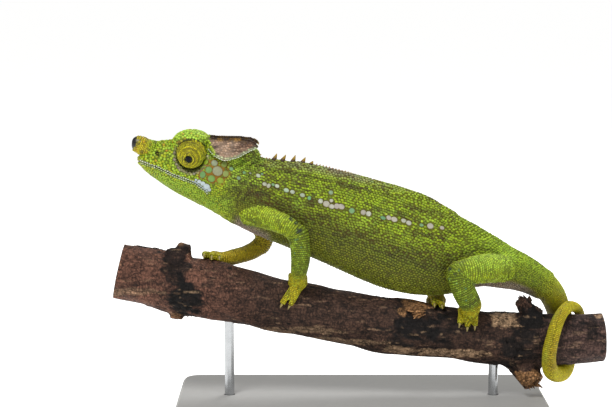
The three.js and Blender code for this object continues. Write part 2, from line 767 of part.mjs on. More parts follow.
function addPiece(name, geometry, paint, group = object) {
  const mesh = new THREE.Mesh(geometry, new THREE.MeshStandardMaterial(PAINT[paint]));
  mesh.name = name;
  group.add(mesh);
  return mesh;
}

function addHead() {
  const { head, jaw } = headPieces();
  addPiece('head', toGeometry(head), 'skin');
  addPiece('lower_jaw', toGeometry(jaw), 'throat');
  addPiece('rostral_horn', toGeometry(hornLoft(0)), 'horn');
  for (const [side, hand] of [['left', -1], ['right', 1]]) {
    addPiece(`occipital_lobe_${side}`, toGeometry(lobe(hand)), 'lobe');
    const eye = new THREE.Group();
    const { position, turn } = turretPlacing(hand);
    eye.position.copy(position);
    eye.quaternion.copy(turn);
    addPiece(`eye_turret_${side}`, toGeometry(toSolid(turretGeometry())), 'turret', eye);
    addPiece(`eyeball_${side}`, toGeometry(toSolid(eyeballGeometry())), 'eye', eye);
    object.add(eye);
  }
}

function addBody() {
  const nape = ellipsoid(NAPE_CENTRE, NAPE_RADII, BROW_RINGS);
  const neck = joined([bodyLength(pastGap(SPINE, HEAD_END), NECK_END, STEPS.neck), nape]);
  const flaps = [lobe(-1, GAP), lobe(1, GAP)];
  const pelvis = bodyLength(pastGap(SPINE, TRUNK_END), PELVIS_END, STEPS.pelvis);
  addPiece('neck', toGeometry(cutBy(neck, flaps)), 'skin');
  addPiece('trunk', toGeometry(trunkSolid()), 'skin');
  addPiece('pelvis', toGeometry(pelvis), 'skin');
}

function addTail() {
  const base = bodyLength(pastGap(SPINE, PELVIS_END), TAIL_BASE_END, STEPS.tailBase);
  const first = coilLength(pastGap(SPINE, TAIL_BASE_END), COIL_CUT, 0).subtract(branchCutter);
  const second = coilLength(pastGap(SPINE, COIL_CUT), SPINE.length - 1, 1).subtract(branchCutter);
  addPiece('tail_base', toGeometry(base), 'skin');
  addPiece('tail_coil_1', toGeometry(first), 'limb');
  addPiece('tail_coil_2', toGeometry(second), 'hand');
}

function addLimbs() {
  const limbs = [
    { rows: FORELIMB_LEFT, hand: -1, names: ['upper_arm_left', 'forearm_left', 'hand_left'] },
    { rows: FORELIMB_RIGHT, hand: 1, names: ['upper_arm_right', 'forearm_right', 'hand_right'] },
    { rows: HINDLIMB_LEFT, hand: -1, names: ['thigh_left', 'shank_left', 'foot_left'] },
    { rows: HINDLIMB_RIGHT, hand: 1, names: ['thigh_right', 'shank_right', 'foot_right'] },
  ];
  for (const { rows, hand, names } of limbs) {
    addPiece(names[0], toGeometry(upperLimb(rows, hand)), 'skin');
    addPiece(names[1], toGeometry(lowerLimb(rows, hand)), 'limb');
    addPiece(names[2], toGeometry(gripSolid(names[2], rows, hand)), 'hand');
  }
}

function addStand() {
  addPiece('perch', toGeometry(perchSolid()), 'bark');
  addPiece('stand_base', toGeometry(baseSolid()), 'base');
  const low = BASE_SIZE[2] - ROD_FOOT + GAP;
  ['left', 'right'].forEach((side, index) => {
    const x = ROD_X[index];
    const rod = toSolid(rodCylinder(x, ROD_RADIUS, low, rodTop(x)));
    addPiece(`stand_rod_${side}`, toGeometry(rod), 'steel');
  });
}

addHead();
addBody();
addTail();
addLimbs();
addStand();

export default object;
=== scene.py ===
"""Looks of the chameleon on its perch: one skin over all flesh, scales, eyes, claws, bark and stand."""
import math

import bpy
import numpy as np
import openvdb
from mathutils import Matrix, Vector
from mathutils.kdtree import KDTree


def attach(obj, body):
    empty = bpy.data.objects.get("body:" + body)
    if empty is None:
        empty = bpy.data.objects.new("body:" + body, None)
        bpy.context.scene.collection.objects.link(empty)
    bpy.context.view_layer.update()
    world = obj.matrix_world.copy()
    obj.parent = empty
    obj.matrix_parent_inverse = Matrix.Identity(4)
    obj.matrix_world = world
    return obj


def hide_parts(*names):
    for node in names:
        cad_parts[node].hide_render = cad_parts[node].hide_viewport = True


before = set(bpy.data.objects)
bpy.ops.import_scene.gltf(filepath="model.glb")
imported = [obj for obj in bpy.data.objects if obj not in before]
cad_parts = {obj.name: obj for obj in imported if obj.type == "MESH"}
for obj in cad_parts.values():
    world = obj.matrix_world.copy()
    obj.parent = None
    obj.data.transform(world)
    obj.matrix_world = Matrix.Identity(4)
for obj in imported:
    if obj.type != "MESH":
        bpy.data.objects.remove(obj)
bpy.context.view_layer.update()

# ------------------------------------------------------------------ sizes, in millimetres

MM = 0.001
GAP = 0.3            # the solids' clearance from the branch and from each other
COAT_DEPTH = 0.2     # how far the skin lies inside the solids, which reach the scales' tips
KEEL = 0.42          # how far the back narrows to its ridge

# Stations of the body: x, y, z of the middle, reach up, reach down, half width.
BODY = np.array([
    [-74.0, 0, 84.4, 0.9, 0.8, 1.1], [-72.4, 0, 84.4, 3.0, 2.4, 2.6], [-70.0, 0, 84.2, 5.6, 4.3, 3.8],
    [-66.7, 0, 83.9, 7.4, 6.2, 4.8], [-63.0, 0, 83.2, 8.5, 7.5, 5.5], [-59.4, 0, 82.4, 9.6, 8.8, 6.1],
    [-55.8, 0, 81.4, 10.6, 9.7, 6.7], [-52.1, 0, 80.3, 11.6, 10.2, 7.3], [-48.2, 0, 78.8, 11.6, 10.6, 7.4],
    [-43.9, 0, 76.8, 11.3, 10.9, 6.9], [-39.3, 0, 74.5, 12.6, 11.3, 6.7], [-34.7, 0, 72.0, 14.6, 11.2, 7.1],
    [-29.4, 0, 69.4, 16.2, 11.1, 7.6], [-22.5, 0, 67.0, 17.4, 11.4, 8.0], [-14.0, 0, 64.2, 18.3, 12.1, 8.4],
    [-5.0, 0, 61.0, 19.2, 12.8, 8.7], [4.0, 0, 57.6, 20.0, 13.4, 8.9], [13.0, 0, 54.4, 20.3, 13.6, 8.9],
    [21.5, 0, 52.4, 19.0, 13.0, 8.4], [29.5, 0, 51.5, 16.0, 11.6, 7.4], [36.0, 0, 51.2, 12.4, 9.7, 6.4],
    [41.5, 0, 50.4, 9.6, 8.2, 5.5], [46.5, 0.2, 49.0, 7.8, 7.3, 5.0], [52.2, 1.0, 47.1, 6.5, 6.4, 4.9],
    [57.9, 2.8, 44.2, 5.6, 5.6, 4.7], [63.2, 5.8, 40.0, 4.9, 4.8, 4.4],
])
TAIL_BASE_END = 24.6   # place in that table where the tail's round coil takes over

# The tail round the branch: degrees from the top towards the far side, x, radius.
TAIL_COIL = [
    (52, 66.9, 4.1), (92, 68.9, 3.6), (135, 69.6, 3.1), (180, 67.0, 2.8), (215, 62.6, 2.6), (250, 61.1, 2.4),
    (285, 62.2, 2.25), (320, 64.8, 2.1), (355, 68.6, 1.95), (390, 72.6, 1.75), (430, 74.8, 1.5),
    (470, 76.2, 1.2), (505, 77.0, 0.8),
]

# Mouth line, from in front of the snout to behind the jaw joint: x, z.
MOUTH = np.array([
    [-80.0, 84.9], [-73.3, 84.35], [-67.2, 82.6], [-60.9, 79.8], [-54.6, 77.7], [-50.4, 74.4],
])

HORN = np.array([
    [-67.5, 0, 88.2, 3.2, 2.8, 2.6], [-70.5, 0, 88.9, 3.3, 2.7, 2.6], [-73.0, 0, 89.8, 3.3, 2.9, 2.6],
    [-75.0, 0, 90.1, 2.5, 2.4, 2.1], [-75.9, 0, 90.2, 1.2, 1.2, 1.1],
])

TURRET_CENTRE = (-55.9, 4.7, 87.1)
TURRET_RADIUS = 4.85
GAZE = (-0.12, 0.95, -0.26)
EYEBALL_RADIUS = 2.0
EYEBALL_FRONT = 5.35
BROW_CENTRE = (-56.2, 3.2, 91.3)
BROW_RADII = (5.9, 3.2, 3.4)
NAPE_CENTRE = (-37.2, 0, 86.0)
NAPE_RADII = (3.7, 3.6, 3.2)

# Flap behind the head: x, lowest and highest place as degrees above the side.
LOBE = np.array([
    [-50.6, 30, 62], [-48.3, 14, 58], [-45.0, 4, 56], [-41.5, 8, 56], [-38.5, 17, 54], [-36.0, 26, 49],
    [-34.0, 31, 39],
])
LOBE_MIDDLE = 84.4
LOBE_REACH = (7.7, 9.7)
LOBE_THICKNESS = 1.1

CREST = [(-29.0, 2.2), (-26.2, 2.3), (-22.9, 2.3), (-19.7, 2.0), (-16.9, 1.3)]   # x, height
CREST_RADIUS = 0.95

# Limbs: x, distance from the middle plane, z, radius.
LIMBS = {
    "fore_left": [(-38.0, 3.0, 67.2, 3.5), (-31.4, 8.0, 66.4, 3.6), (-25.4, 11.0, 64.6, 3.4),
                  (-20.9, 12.3, 61.6, 3.2), (-20.2, 12.3, 55.2, 3.2), (-20.7, 10.2, 49.4, 2.8),
                  (-21.1, 7.4, 46.4, 2.4)],
    "fore_right": [(-37.5, 3.0, 67.5, 3.4), (-34.6, 8.4, 62.6, 3.4), (-32.4, 10.9, 58.2, 3.2),
                   (-33.2, 11.4, 54.7, 3.0), (-37.3, 10.3, 52.5, 2.9), (-42.2, 8.3, 51.2, 2.7),
                   (-46.2, 6.0, 51.0, 2.3)],
    "hind_left": [(47.5, 1.5, 49.0, 4.4), (41.5, 7.0, 49.6, 4.9), (35.6, 10.8, 49.7, 4.5),
                  (30.8, 12.3, 48.6, 4.0), (32.8, 12.4, 43.0, 3.9), (35.2, 10.6, 38.6, 3.6),
                  (35.6, 7.8, 36.6, 3.1)],
    "hind_right": [(46.5, 1.5, 48.8, 4.2), (41.0, 7.0, 49.2, 4.4), (34.0, 11.0, 49.6, 4.0),
                   (28.6, 12.6, 47.4, 3.7), (26.2, 12.3, 43.0, 3.4), (25.4, 10.2, 39.3, 3.1),
                   (25.2, 7.4, 37.4, 2.8)],
}
SIDE = {"left": -1, "right": 1}
KNEE = 3       # row of the elbow or knee
ANKLE = 2.3    # place of the wrist or ankle, counted from there

# Grips: x of the middle, lengthwise drift of the near toes, (count, reach in degrees) of each bundle.
GRIPS = {
    "fore_left": (-21.2, -3.8, (2, 80), (3, 50)),
    "fore_right": (-49.6, -1.6, (2, 98), (3, 12)),
    "hind_left": (35.0, -0.6, (3, 66), (2, 50)),
    "hind_right": (25.2, -0.6, (3, 98), (2, 24)),
}
SOLE_ANGLE = 28
SOLE_HEIGHT = 1.7
SOLE_RADII = (3.4, 3.2, 2.4)
TOE_HALF_WIDTH = 1.06
TOE_HALF_HEIGHT = 1.3
TOE_TAPER = (0.84, 0.92)
TOE_ROOT = 7
TOE_STAGGER = 2.3
TOE_SPREAD = 0.15
TOE_PITCH = 2.18

# Branch stations: x, y, z of the middle, reach up, reach down, half depth.
BRANCH = np.array([
    [-80.5, 0, 47.8, 9.2, 9.2, 9.0], [-70.0, 0, 45.5, 9.7, 9.7, 9.2], [-60.0, 0, 43.0, 9.9, 9.9, 9.3],
    [-48.0, 0, 41.0, 9.8, 9.8, 9.2], [-37.0, 0, 38.3, 9.2, 9.2, 9.0], [-20.5, 0, 35.0, 8.9, 8.9, 8.8],
    [-4.0, 0, 31.7, 8.9, 8.9, 8.8], [12.5, 0, 28.8, 9.6, 9.6, 9.1], [29.0, 0, 27.0, 8.6, 8.6, 8.7],
    [45.5, 0, 24.8, 9.0, 9.0, 8.8], [56.0, 0, 24.4, 9.3, 9.3, 9.0], [66.0, 0, 24.7, 8.6, 8.6, 8.5],
    [80.5, 0, 25.1, 8.1, 8.1, 8.1],
])
BARK_LUMP = 0.022
TWIGS = [   # foot, tip, radius at each
    ((-59.5, -1.0, 50.5), (-58.6, -2.2, 56.9), 3.4, 2.2),
    ((-63.0, -1.5, 50.5), (-62.4, -2.4, 55.4), 2.8, 1.9),
    ((-60.6, -2.0, 37.5), (-61.4, -3.6, 32.0), 2.9, 2.1),
    ((50.4, 2.0, 20.5), (57.2, -4.6, 10.8), 5.4, 3.7),
    ((58.0, -1.5, 32.5), (51.6, -3.4, 38.2), 3.3, 1.7),
]

# ------------------------------------------------------------------ camera and the photo's frame

FRAME_SIZE = (612, 407)                  # the photo's pixels
PIXEL = 0.33                             # millimetres to a pixel at the animal's middle plane
CAMERA_DISTANCE = 600.0
CAMERA_ELEVATION = math.radians(7)
LOOK_AT = np.array([-18.48, 0.0, 70.2])
FORWARD = np.array([0.0, math.cos(CAMERA_ELEVATION), -math.sin(CAMERA_ELEVATION)])
UPWARD = np.array([0.0, math.sin(CAMERA_ELEVATION), math.cos(CAMERA_ELEVATION)])
CAMERA_PLACE = LOOK_AT - CAMERA_DISTANCE * FORWARD


def seen(pixel, aside):
    """x and z of what shows at a pixel of the photo, on the plane that lies aside of the middle."""
    across = (pixel[0] - FRAME_SIZE[0] / 2) * PIXEL / CAMERA_DISTANCE
    rise = (FRAME_SIZE[1] / 2 - pixel[1]) * PIXEL / CAMERA_DISTANCE
    ray = FORWARD + rise * UPWARD + np.array([across, 0.0, 0.0])
    return (CAMERA_PLACE + ray * ((-aside - CAMERA_PLACE[1]) / ray[1]))[[0, 2]]


# ------------------------------------------------------------------ noise

def lattice_value(cell, seed):
    """A steady random number from 0 to 1 for each whole-numbered cell."""
    mixed = cell[..., 0] * 73856093 ^ cell[..., 1] * 19349663 ^ cell[..., 2] * 83492791 ^ seed * 2654435761
    mixed = (mixed ^ mixed >> 13) * 1274126177 & 0xFFFFFFFF
    return ((mixed ^ mixed >> 16) & 0xFFFF) / 65535.0


def value_noise(points, size, seed=0):
    """Smooth noise from -1 to 1 with lumps of that size, which may differ along x, y and z."""
    scaled = points / np.asarray(size, float)
    cell = np.floor(scaled).astype(np.int64)
    part = scaled - cell
    part = part * part * (3 - 2 * part)
    total = 0.0
    for corner in np.ndindex(2, 2, 2):
        weight = np.prod(np.where(corner, part, 1 - part), axis=-1)
        total = total + weight * lattice_value(cell + np.array(corner), seed)
    return 2 * total - 1


def layered_noise(points, size, seed=0, layers=3):
    size = np.asarray(size, float)
    total = sum(value_noise(points, size / 2 ** n, seed + 17 * n) / 2 ** n for n in range(layers))
    return total / (2 - 2 ** (1 - layers))


def lengths(rows):
    return np.linalg.norm(rows, axis=1)


def ramp(value, low, high):
    """0 below low, 1 above high and smooth between; high may be the lower one."""
    share = np.clip((value - low) / (high - low), 0, 1)
    return share * share * (3 - 2 * share)


# ------------------------------------------------------------------ curves through rows, and lofts

def rows_at(rows, places):
    """The rows' values at fractional row numbers, on a smooth curve through all of them."""
    rows = np.asarray(rows, float)
    places = np.atleast_1d(places).astype(float)
    last = len(rows) - 1
    first = np.clip(np.floor(places).astype(int), 0, last - 1)
    t = (places - first)[:, None]
    start, end = rows[first], rows[first + 1]
    leave = (end - rows[np.maximum(first - 1, 0)]) / 2
    arrive = (rows[np.minimum(first + 2, last)] - start) / 2
    rise = end - start
    return start + t * (leave + t * (3 * rise - 2 * leave - arrive + t * (leave + arrive - 2 * rise)))


def headings(rows, places):
    """Direction of a loft's middle line at each place, and its millimetres to a row."""
    places = np.asarray(places, float)
    low, high = np.maximum(places - 0.01, 0), np.minimum(places + 0.01, len(rows) - 1)
    step = rows_at(rows, high)[:, :3] - rows_at(rows, low)[:, :3]
    length = lengths(step)
    return step / length[:, None], length / (high - low)


def frames(rows, places, guide):
    """Values, heading, across and above of a loft at each place."""
    values = rows_at(rows, places)
    heading, _ = headings(rows, places)
    across = np.asarray(guide, float) - heading * (heading @ np.asarray(guide, float))[:, None]
    across /= lengths(across)[:, None]
    return values, heading, across, np.cross(heading, across)


def bark_swell(x, angle):
    return 1 + BARK_LUMP * (np.sin(3 * angle + 0.21 * x) + np.sin(5 * angle - 0.37 * x))


def loft_points(rows, places, angles, guide=(0, 1, 0), keel=0.0, swell=None):
    """Points of a loft's surface, a row of them for each place."""
    values, _, across, above = frames(rows, places, guide)
    rise = np.sin(angles)[None, :]
    reach = np.where(rise > 0, values[:, 3:4], values[:, 4:5])
    lump = swell(values[:, 0:1], angles[None, :]) if swell else 1.0
    width = values[:, 5:6] * np.cos(angles)[None, :] * (1 - keel * np.maximum(rise, 0) ** 2) * lump
    height = reach * rise * lump
    return values[:, None, :3] + width[..., None] * across[:, None] + height[..., None] * above[:, None]


def closed(grid):
    """Points, triangles and quads of a closed mesh over rings of points."""
    rings, sides = grid.shape[:2]
    points = np.concatenate([grid.reshape(-1, 3), grid[0].mean(0)[None], grid[-1].mean(0)[None]])
    index = np.arange(rings * sides).reshape(rings, sides)
    turned = np.roll(index, -1, axis=1)
    quads = np.stack([index[:-1], turned[:-1], turned[1:], index[1:]], -1).reshape(-1, 4)
    start = np.stack([np.full(sides, rings * sides), turned[0], index[0]], -1)
    end = np.stack([np.full(sides, rings * sides + 1), index[-1], turned[-1]], -1)
    return points, np.concatenate([start, end]), quads


def ring_angles(count):
    return np.arange(count) * 2 * math.pi / count


def circle_of(count):
    """Cosines and sines of directions spread evenly round a circle."""
    return np.stack([np.cos(ring_angles(count)), np.sin(ring_angles(count))], -1)


def path_length(points):
    """How far along a line of points each of them lies."""
    return np.concatenate([[0], np.cumsum(lengths(np.diff(points, axis=0)))])


def loft(rows, start, end, steps, sides, **plan):
    return closed(loft_points(rows, np.linspace(start, end, steps + 1), ring_angles(sides), **plan))


def branch_at(x, degrees):
    """Height of the branch's middle at x, and how far its bark is at an angle from the top."""
    place = float(np.interp(x, BRANCH[:, 0], np.arange(len(BRANCH))))
    for _ in range(8):
        values = rows_at(BRANCH, place)[0]
        place += (x - values[0]) / headings(BRANCH, np.array([place]))[1][0]
        place = min(max(place, 0.0), len(BRANCH) - 1.0)
    values = rows_at(BRANCH, place)[0]
    angle = math.pi / 2 - math.radians(degrees)
    rise = (values[3] if math.sin(angle) > 0 else values[4]) * math.sin(angle)
    return values[2], math.hypot(values[5] * math.cos(angle), rise) * bark_swell(x, angle)


def on_branch(x, degrees, height):
    z, radius = branch_at(x, degrees)
    turn = math.radians(degrees)
    return [x, (radius + height) * math.sin(turn), z + (radius + height) * math.cos(turn)]


SPINE = np.array(BODY.tolist() + [on_branch(x, turn, r + GAP) + [r, r, r] for turn, x, r in TAIL_COIL])


def limb_rows(name):
    """Loft rows of a limb, down to the middle of its sole."""
    hand = SIDE[name.split("_")[1]]
    rows = [[x, hand * aside, z, r, r, r] for x, aside, z, r in LIMBS[name]]
    sole = on_branch(GRIPS[name][0], hand * SOLE_ANGLE, SOLE_HEIGHT)
    return np.array(rows + [sole + [SOLE_RADII[2]] * 3])


def toe_rows(name):
    """Loft rows of each toe of a hand or foot, and the way it turns round the branch."""
    hand = SIDE[name.split("_")[1]]
    middle, drift, own, other = GRIPS[name]
    toes = []
    for (count, reach), turn, slide in (((own[0], own[1] - SOLE_ANGLE), hand, drift),
                                        ((other[0], other[1] + SOLE_ANGLE), -hand, 0.0)):
        for index in range(count):
            aside = (index - (count - 1) / 2) * TOE_PITCH
            start = hand * SOLE_ANGLE + turn * TOE_ROOT
            end = hand * SOLE_ANGLE + turn * (reach - abs(aside) * TOE_STAGGER)
            rows = []
            for share in np.linspace(0, 1, 6):
                tall = TOE_HALF_HEIGHT * (1 + (TOE_TAPER[0] - 1) * share)
                half = TOE_HALF_WIDTH * (1 + (TOE_TAPER[1] - 1) * share)
                x = middle + aside + (slide + aside * TOE_SPREAD) * share
                rows.append(on_branch(x, start + (end - start) * share, tall + GAP) + [tall, tall, half])
            toes.append((np.array(rows), turn))
    return toes


# ------------------------------------------------------------------ distance fields on one grid

VOXEL = 0.4
BAND = 8                                          # voxels that a field reaches to each side
FAR = VOXEL * BAND
GRID_START = np.array([-208, -56, 12])            # first and last voxels of the animal's grid
GRID_END = np.array([205, 56, 245])


def mesh_field(points, triangles, quads):
    """Signed distance round a closed mesh, on the voxels that its band takes, and the first of those."""
    transform = openvdb.createLinearTransform(voxelSize=VOXEL)
    grid = openvdb.FloatGrid.createLevelSetFromPolygons(
        points.astype(np.float32), triangles=triangles.astype(np.uint32), quads=quads.astype(np.uint32),
        transform=transform, halfWidth=BAND)
    start, end = (np.array(corner) for corner in grid.evalActiveVoxelBoundingBox())
    values = np.empty(tuple(end - start + 1), np.float32)
    grid.copyToArray(values, ijk=tuple(int(v) for v in start))
    return values, start


def blend_min(one, other, soft):
    """The nearer of two distances, rounded where they are alike within soft millimetres."""
    near = np.maximum(soft - np.abs(one - other), 0) / soft
    return np.minimum(one, other) - near * near * soft / 4


class Field:
    """Distances on one block of voxels; a mesh is added or cut away, its seam rounded by soft millimetres."""

    def __init__(self, start, end):
        self.start = np.array(start)
        self.values = np.full(tuple(np.array(end) - self.start + 1), FAR, np.float32)

    def part(self, start, shape):
        low = np.maximum(start, self.start)
        high = np.minimum(start + shape, self.start + self.values.shape)
        mine = tuple(slice(a - s, b - s) for a, b, s in zip(low, high, self.start))
        other = tuple(slice(a - s, b - s) for a, b, s in zip(low, high, start))
        return mine, other

    def join(self, values, start, soft):
        mine, other = self.part(start, values.shape)
        self.values[mine] = blend_min(self.values[mine], values[other], soft)

    def add(self, mesh, soft):
        self.join(*mesh_field(*mesh), soft)

    def cut(self, mesh, soft):
        values, start = mesh_field(*mesh)
        mine, other = self.part(start, values.shape)
        self.values[mine] = -blend_min(-self.values[mine], values[other], soft)

    def places(self, reach):
        """Voxels within reach of the surface, and their points."""
        index = np.nonzero(np.abs(self.values) < reach)
        return index, (np.stack(index, -1) + self.start) * VOXEL

    def at(self, points):
        """Distance at any points, from the eight voxels round each."""
        scaled = points / VOXEL - self.start
        cell = np.clip(np.floor(scaled).astype(int), 0, np.array(self.values.shape) - 2)
        part = scaled - cell
        total = np.zeros(len(points))
        for corner in np.ndindex(2, 2, 2):
            weight = np.prod(np.where(corner, part, 1 - part), axis=-1)
            total += weight * self.values[tuple((cell + np.array(corner)).T)]
        return total

    def normals(self, points, reach=0.5):
        slope = np.stack([self.at(points + step) - self.at(points - step) for step in np.eye(3) * reach], -1)
        return slope / np.maximum(lengths(slope), 1e-6)[:, None]

    def onto(self, points, turns=4):
        """The nearby points of the surface."""
        for _ in range(turns):
            points = points - self.normals(points) * self.at(points)[:, None]
        return points

    def mesh(self):
        """Points and quads of the surface."""
        grid = openvdb.FloatGrid(FAR)
        grid.transform = openvdb.createLinearTransform(voxelSize=VOXEL)
        grid.copyFromArray(self.values, ijk=tuple(int(v) for v in self.start), tolerance=0.0)
        points, _, quads = grid.convertToPolygons(isovalue=0.0, adaptivity=0.0)
        return np.array(points, float), np.array(quads)


def ellipsoid(centre, radii, turn=None, rings=24):
    """Mesh of an ellipsoid; turn holds the directions of its three radii."""
    circle = circle_of(2 * rings)
    grid = np.array([np.column_stack([circle * math.cos(lift), np.full(2 * rings, math.sin(lift))])
                     for lift in np.linspace(-math.pi / 2, math.pi / 2, rings + 1)[1:-1]]) * radii
    if turn is not None:
        grid = grid @ turn.T
    return closed(grid + np.array(centre))


def gaze_frame(hand):
    """Middle of an eye turret, and three directions: across, upwards and along the gaze."""
    gaze = np.array(GAZE) * (1, hand, 1)
    gaze /= np.linalg.norm(gaze)
    across = np.cross([0, 0, 1.0], gaze)
    across /= np.linalg.norm(across)
    return np.array(TURRET_CENTRE) * (1, hand, 1), np.array([across, np.cross(gaze, across), gaze])


def about_gaze(points, middle, axes):
    """How far and which way points lie from a line along the gaze, and how far along it."""
    offset = points - middle
    along = offset @ axes[2]
    return offset - along[:, None] * axes[2], along


def lathe(profile, hand, sides=64):
    """A closed mesh turned about the gaze: distance from the axis, distance along it."""
    centre, axes = gaze_frame(hand)
    circle = circle_of(sides)
    circle = circle[:, :1] * axes[0] + circle[:, 1:] * axes[1]
    return closed(np.array([centre + radius * circle + along * axes[2] for radius, along in profile]))


def lobe_mesh(hand):
    """One flap behind the head: a bent sheet with rounded edges."""
    rings = []
    for place in np.linspace(0, len(LOBE) - 1, 60):
        along, low, high = rows_at(LOBE, place)[0]
        angles = np.radians(np.linspace(low, high, 24))
        rings.append([(along, hand * (LOBE_REACH[0] + reach) * math.cos(turn),
                       LOBE_MIDDLE + (LOBE_REACH[1] + reach) * math.sin(turn))
                      for reach, turns in ((0, angles), (-LOBE_THICKNESS, angles[::-1])) for turn in turns])
    return closed(np.array(rings))


# ------------------------------------------------------------------ the skin's shape

TURRET_PROFILE = [   # half section of the turret: distance from the gaze's axis, along it
    (0.05, -1.6), (4.6, -1.6), (4.85, 0.0), (4.72, 1.2), (4.4, 2.1), (3.85, 3.0), (3.3, 3.55),
    (3.12, 3.6), (2.98, 4.05), (2.65, 4.65), (2.1, 5.25), (1.55, 5.55), (1.25, 5.5), (1.15, 5.1), (0.05, 5.0),
]
SOCKET_PROFILE = [(0.05, 0.3), (4.85, 0.3), (5.12, 1.2), (5.3, 9.0), (0.05, 9.0)]
EYE_OPENING = [(0.05, 4.2), (1.0, 4.2), (1.05, 5.0), (1.45, 6.2), (0.05, 6.2)]

# Folds and furrows as they lie in side view, in the photo's pixels: line, depth and half width in mm.
FOLDS = [
    ([(262, 160), (250, 168), (240, 178), (232, 188), (222, 197)], 0.2, 0.3),
    ([(263, 173), (254, 180), (247, 190), (244, 200)], 0.2, 0.3),
    ([(240, 161), (233, 170), (228, 182), (221, 192)], 0.15, 0.3),
    ([(246, 193), (252, 187), (262, 184.5), (275, 187), (290, 195), (300, 203)], 0.2, 0.35),
    ([(243, 201), (250, 194), (262, 191), (275, 196), (288, 206)], 0.2, 0.35),
    ([(252, 158), (268, 163), (284, 167), (300, 168), (318, 172)], 0.15, 0.3),
    ([(232, 160), (226, 168), (224, 178)], 0.15, 0.3),
    ([(259, 168), (252, 174), (246, 181), (241, 189), (238, 198), (237, 208)], 0.4, 0.4),
    ([(256, 168), (248, 177), (238, 187), (227, 197), (216, 204)], 0.32, 0.38),
    ([(259, 168), (264, 168), (270, 171), (277, 174), (290, 175), (305, 176), (320, 181), (336, 187)],
     0.25, 0.4),
    ([(251, 187), (257, 182), (272, 181), (287, 184), (303, 190), (316, 196)], 0.2, 0.4),
    ([(250, 196), (258, 192), (268, 195), (275, 203)], 0.25, 0.45),
    ([(226, 172), (233, 170), (242, 163), (252, 158)], 0.2, 0.4),
    ([(228, 184), (236, 176), (246, 168), (256, 163)], 0.25, 0.4),
    ([(464, 255), (474, 252), (483, 251), (492, 252), (500, 256)], 0.4, 0.5),
    ([(484, 284), (495, 280), (504, 277)], 0.3, 0.5),
    ([(205, 199), (216, 204), (228, 213), (238, 222)], 0.2, 0.5),
]
LIP_DEPTH = 0.75
LIP_WIDTH = 0.36
LIP_SWELL = [(1.0, 0.22), (-0.9, 0.15)]      # mm over the mouth line, height of the lip there
LIP_HALF = 0.6
MOUTH_END = (-49.0, -52.0)                   # x between which the mouth line sinks in
NOSTRIL = (156.8, 154.2)
NOSTRIL_PIT, NOSTRIL_RIM = (0.9, 0.55), (0.25, 0.5)      # depth or height, half width
JAW_BULGE = (213, 178)
JAW_RADII, JAW_SWELL = (5.5, 4.0), 0.5
THROAT_FOLD, THROAT_PLEATS = 0.1, 1.7        # depth of the throat's folds, mm from one to the next
RIB_SWELL, RIB_SPACING = 0.1, 5.3
WRINKLE, WRINKLE_SIZE = 0.12, 4.0
FLANK_ASIDE = 8.0      # how far from the middle plane a flank, a cheek and a snout show
CHEEK_ASIDE = 6.5
SNOUT_ASIDE = 4.5


def bell(value, half):
    """1 at nought, falling off smoothly on both sides."""
    return np.exp(-(value / half) ** 2)


def above_mouth(points):
    """Height of each point over the mouth line."""
    return points[:, 2] - np.interp(points[:, 0], MOUTH[:, 0], MOUTH[:, 1])


def side_distance(points, pixel, aside):
    """Distance in side view from points to what the photo shows at a pixel."""
    return lengths(points[:, [0, 2]] - seen(pixel, aside))


def line_distance(places, line):
    """Distance in side view from places of x and z to a line of such points."""
    best = np.full(len(places), 1e9)
    for start, end in zip(np.array(line[:-1], float), np.array(line[1:], float)):
        step = end - start
        share = np.clip((places - start) @ step / (step @ step), 0, 1)
        best = np.minimum(best, lengths(places - start - share[:, None] * step))
    return best


def side_lines():
    """The folds in millimetres of x and z."""
    return [([seen(pixel, FLANK_ASIDE) for pixel in line], depth, width) for line, depth, width in FOLDS]


def block_field(low, high):
    """An empty field round a box given in millimetres."""
    margin = BAND + 2
    return Field(np.floor(np.array(low) / VOXEL).astype(int) - margin,
                 np.ceil(np.array(high) / VOXEL).astype(int) + margin)


WEB_HEIGHT = 0.92     # skin between the toes of one bundle: its height, and the row where it ends
WEB_END = 3.9
LIMB_MARGIN = 12.0    # mm kept free round a limb's middle line

# Millimetres over which seams are rounded.
TIGHT = 0.1
TOE_SOFT, WEB_SOFT, SOLE_SOFT, WRIST_SOFT, GRIP_SOFT = 0.45, 0.5, 0.9, 1.0, 0.35
SHANK_SOFT, KNEE_SOFT, LIMB_SOFT = 1.4, 0.6, 1.3
TAIL_SOFT, BROW_SOFT, LOBE_SOFT, NAPE_SOFT = 0.8, 3.0, 1.0, 0.8
SOCKET_SOFT, TURRET_SOFT, TWIG_SOFT = 0.5, 0.15, 1.6


def grip_field(name, field):
    """Adds a hand or foot: the end of the limb, its sole and its toes."""
    rows = limb_rows(name)
    grip = block_field(field.start * VOXEL, (field.start + field.values.shape) * VOXEL)
    toes = toe_rows(name)
    for toe, _ in toes:
        grip.add(loft(toe, 0, len(toe) - 1, 40, 24, guide=(1, 0, 0)), TOE_SOFT)
    for (one, turn), (other, next_turn) in zip(toes[:-1], toes[1:]):
        if turn == next_turn:
            web = (one + other) / 2
            web[:, 3:5] *= WEB_HEIGHT
            grip.add(loft(web, 0, WEB_END, 20, 20, guide=(1, 0, 0)), WEB_SOFT)
    grip.add(ellipsoid(rows[-1][:3], SOLE_RADII), SOLE_SOFT)
    grip.add(loft(rows[KNEE:], ANKLE - 0.1, len(rows) - KNEE - 1, 30, 40), WRIST_SOFT)
    field.join(grip.values, grip.start, GRIP_SOFT)


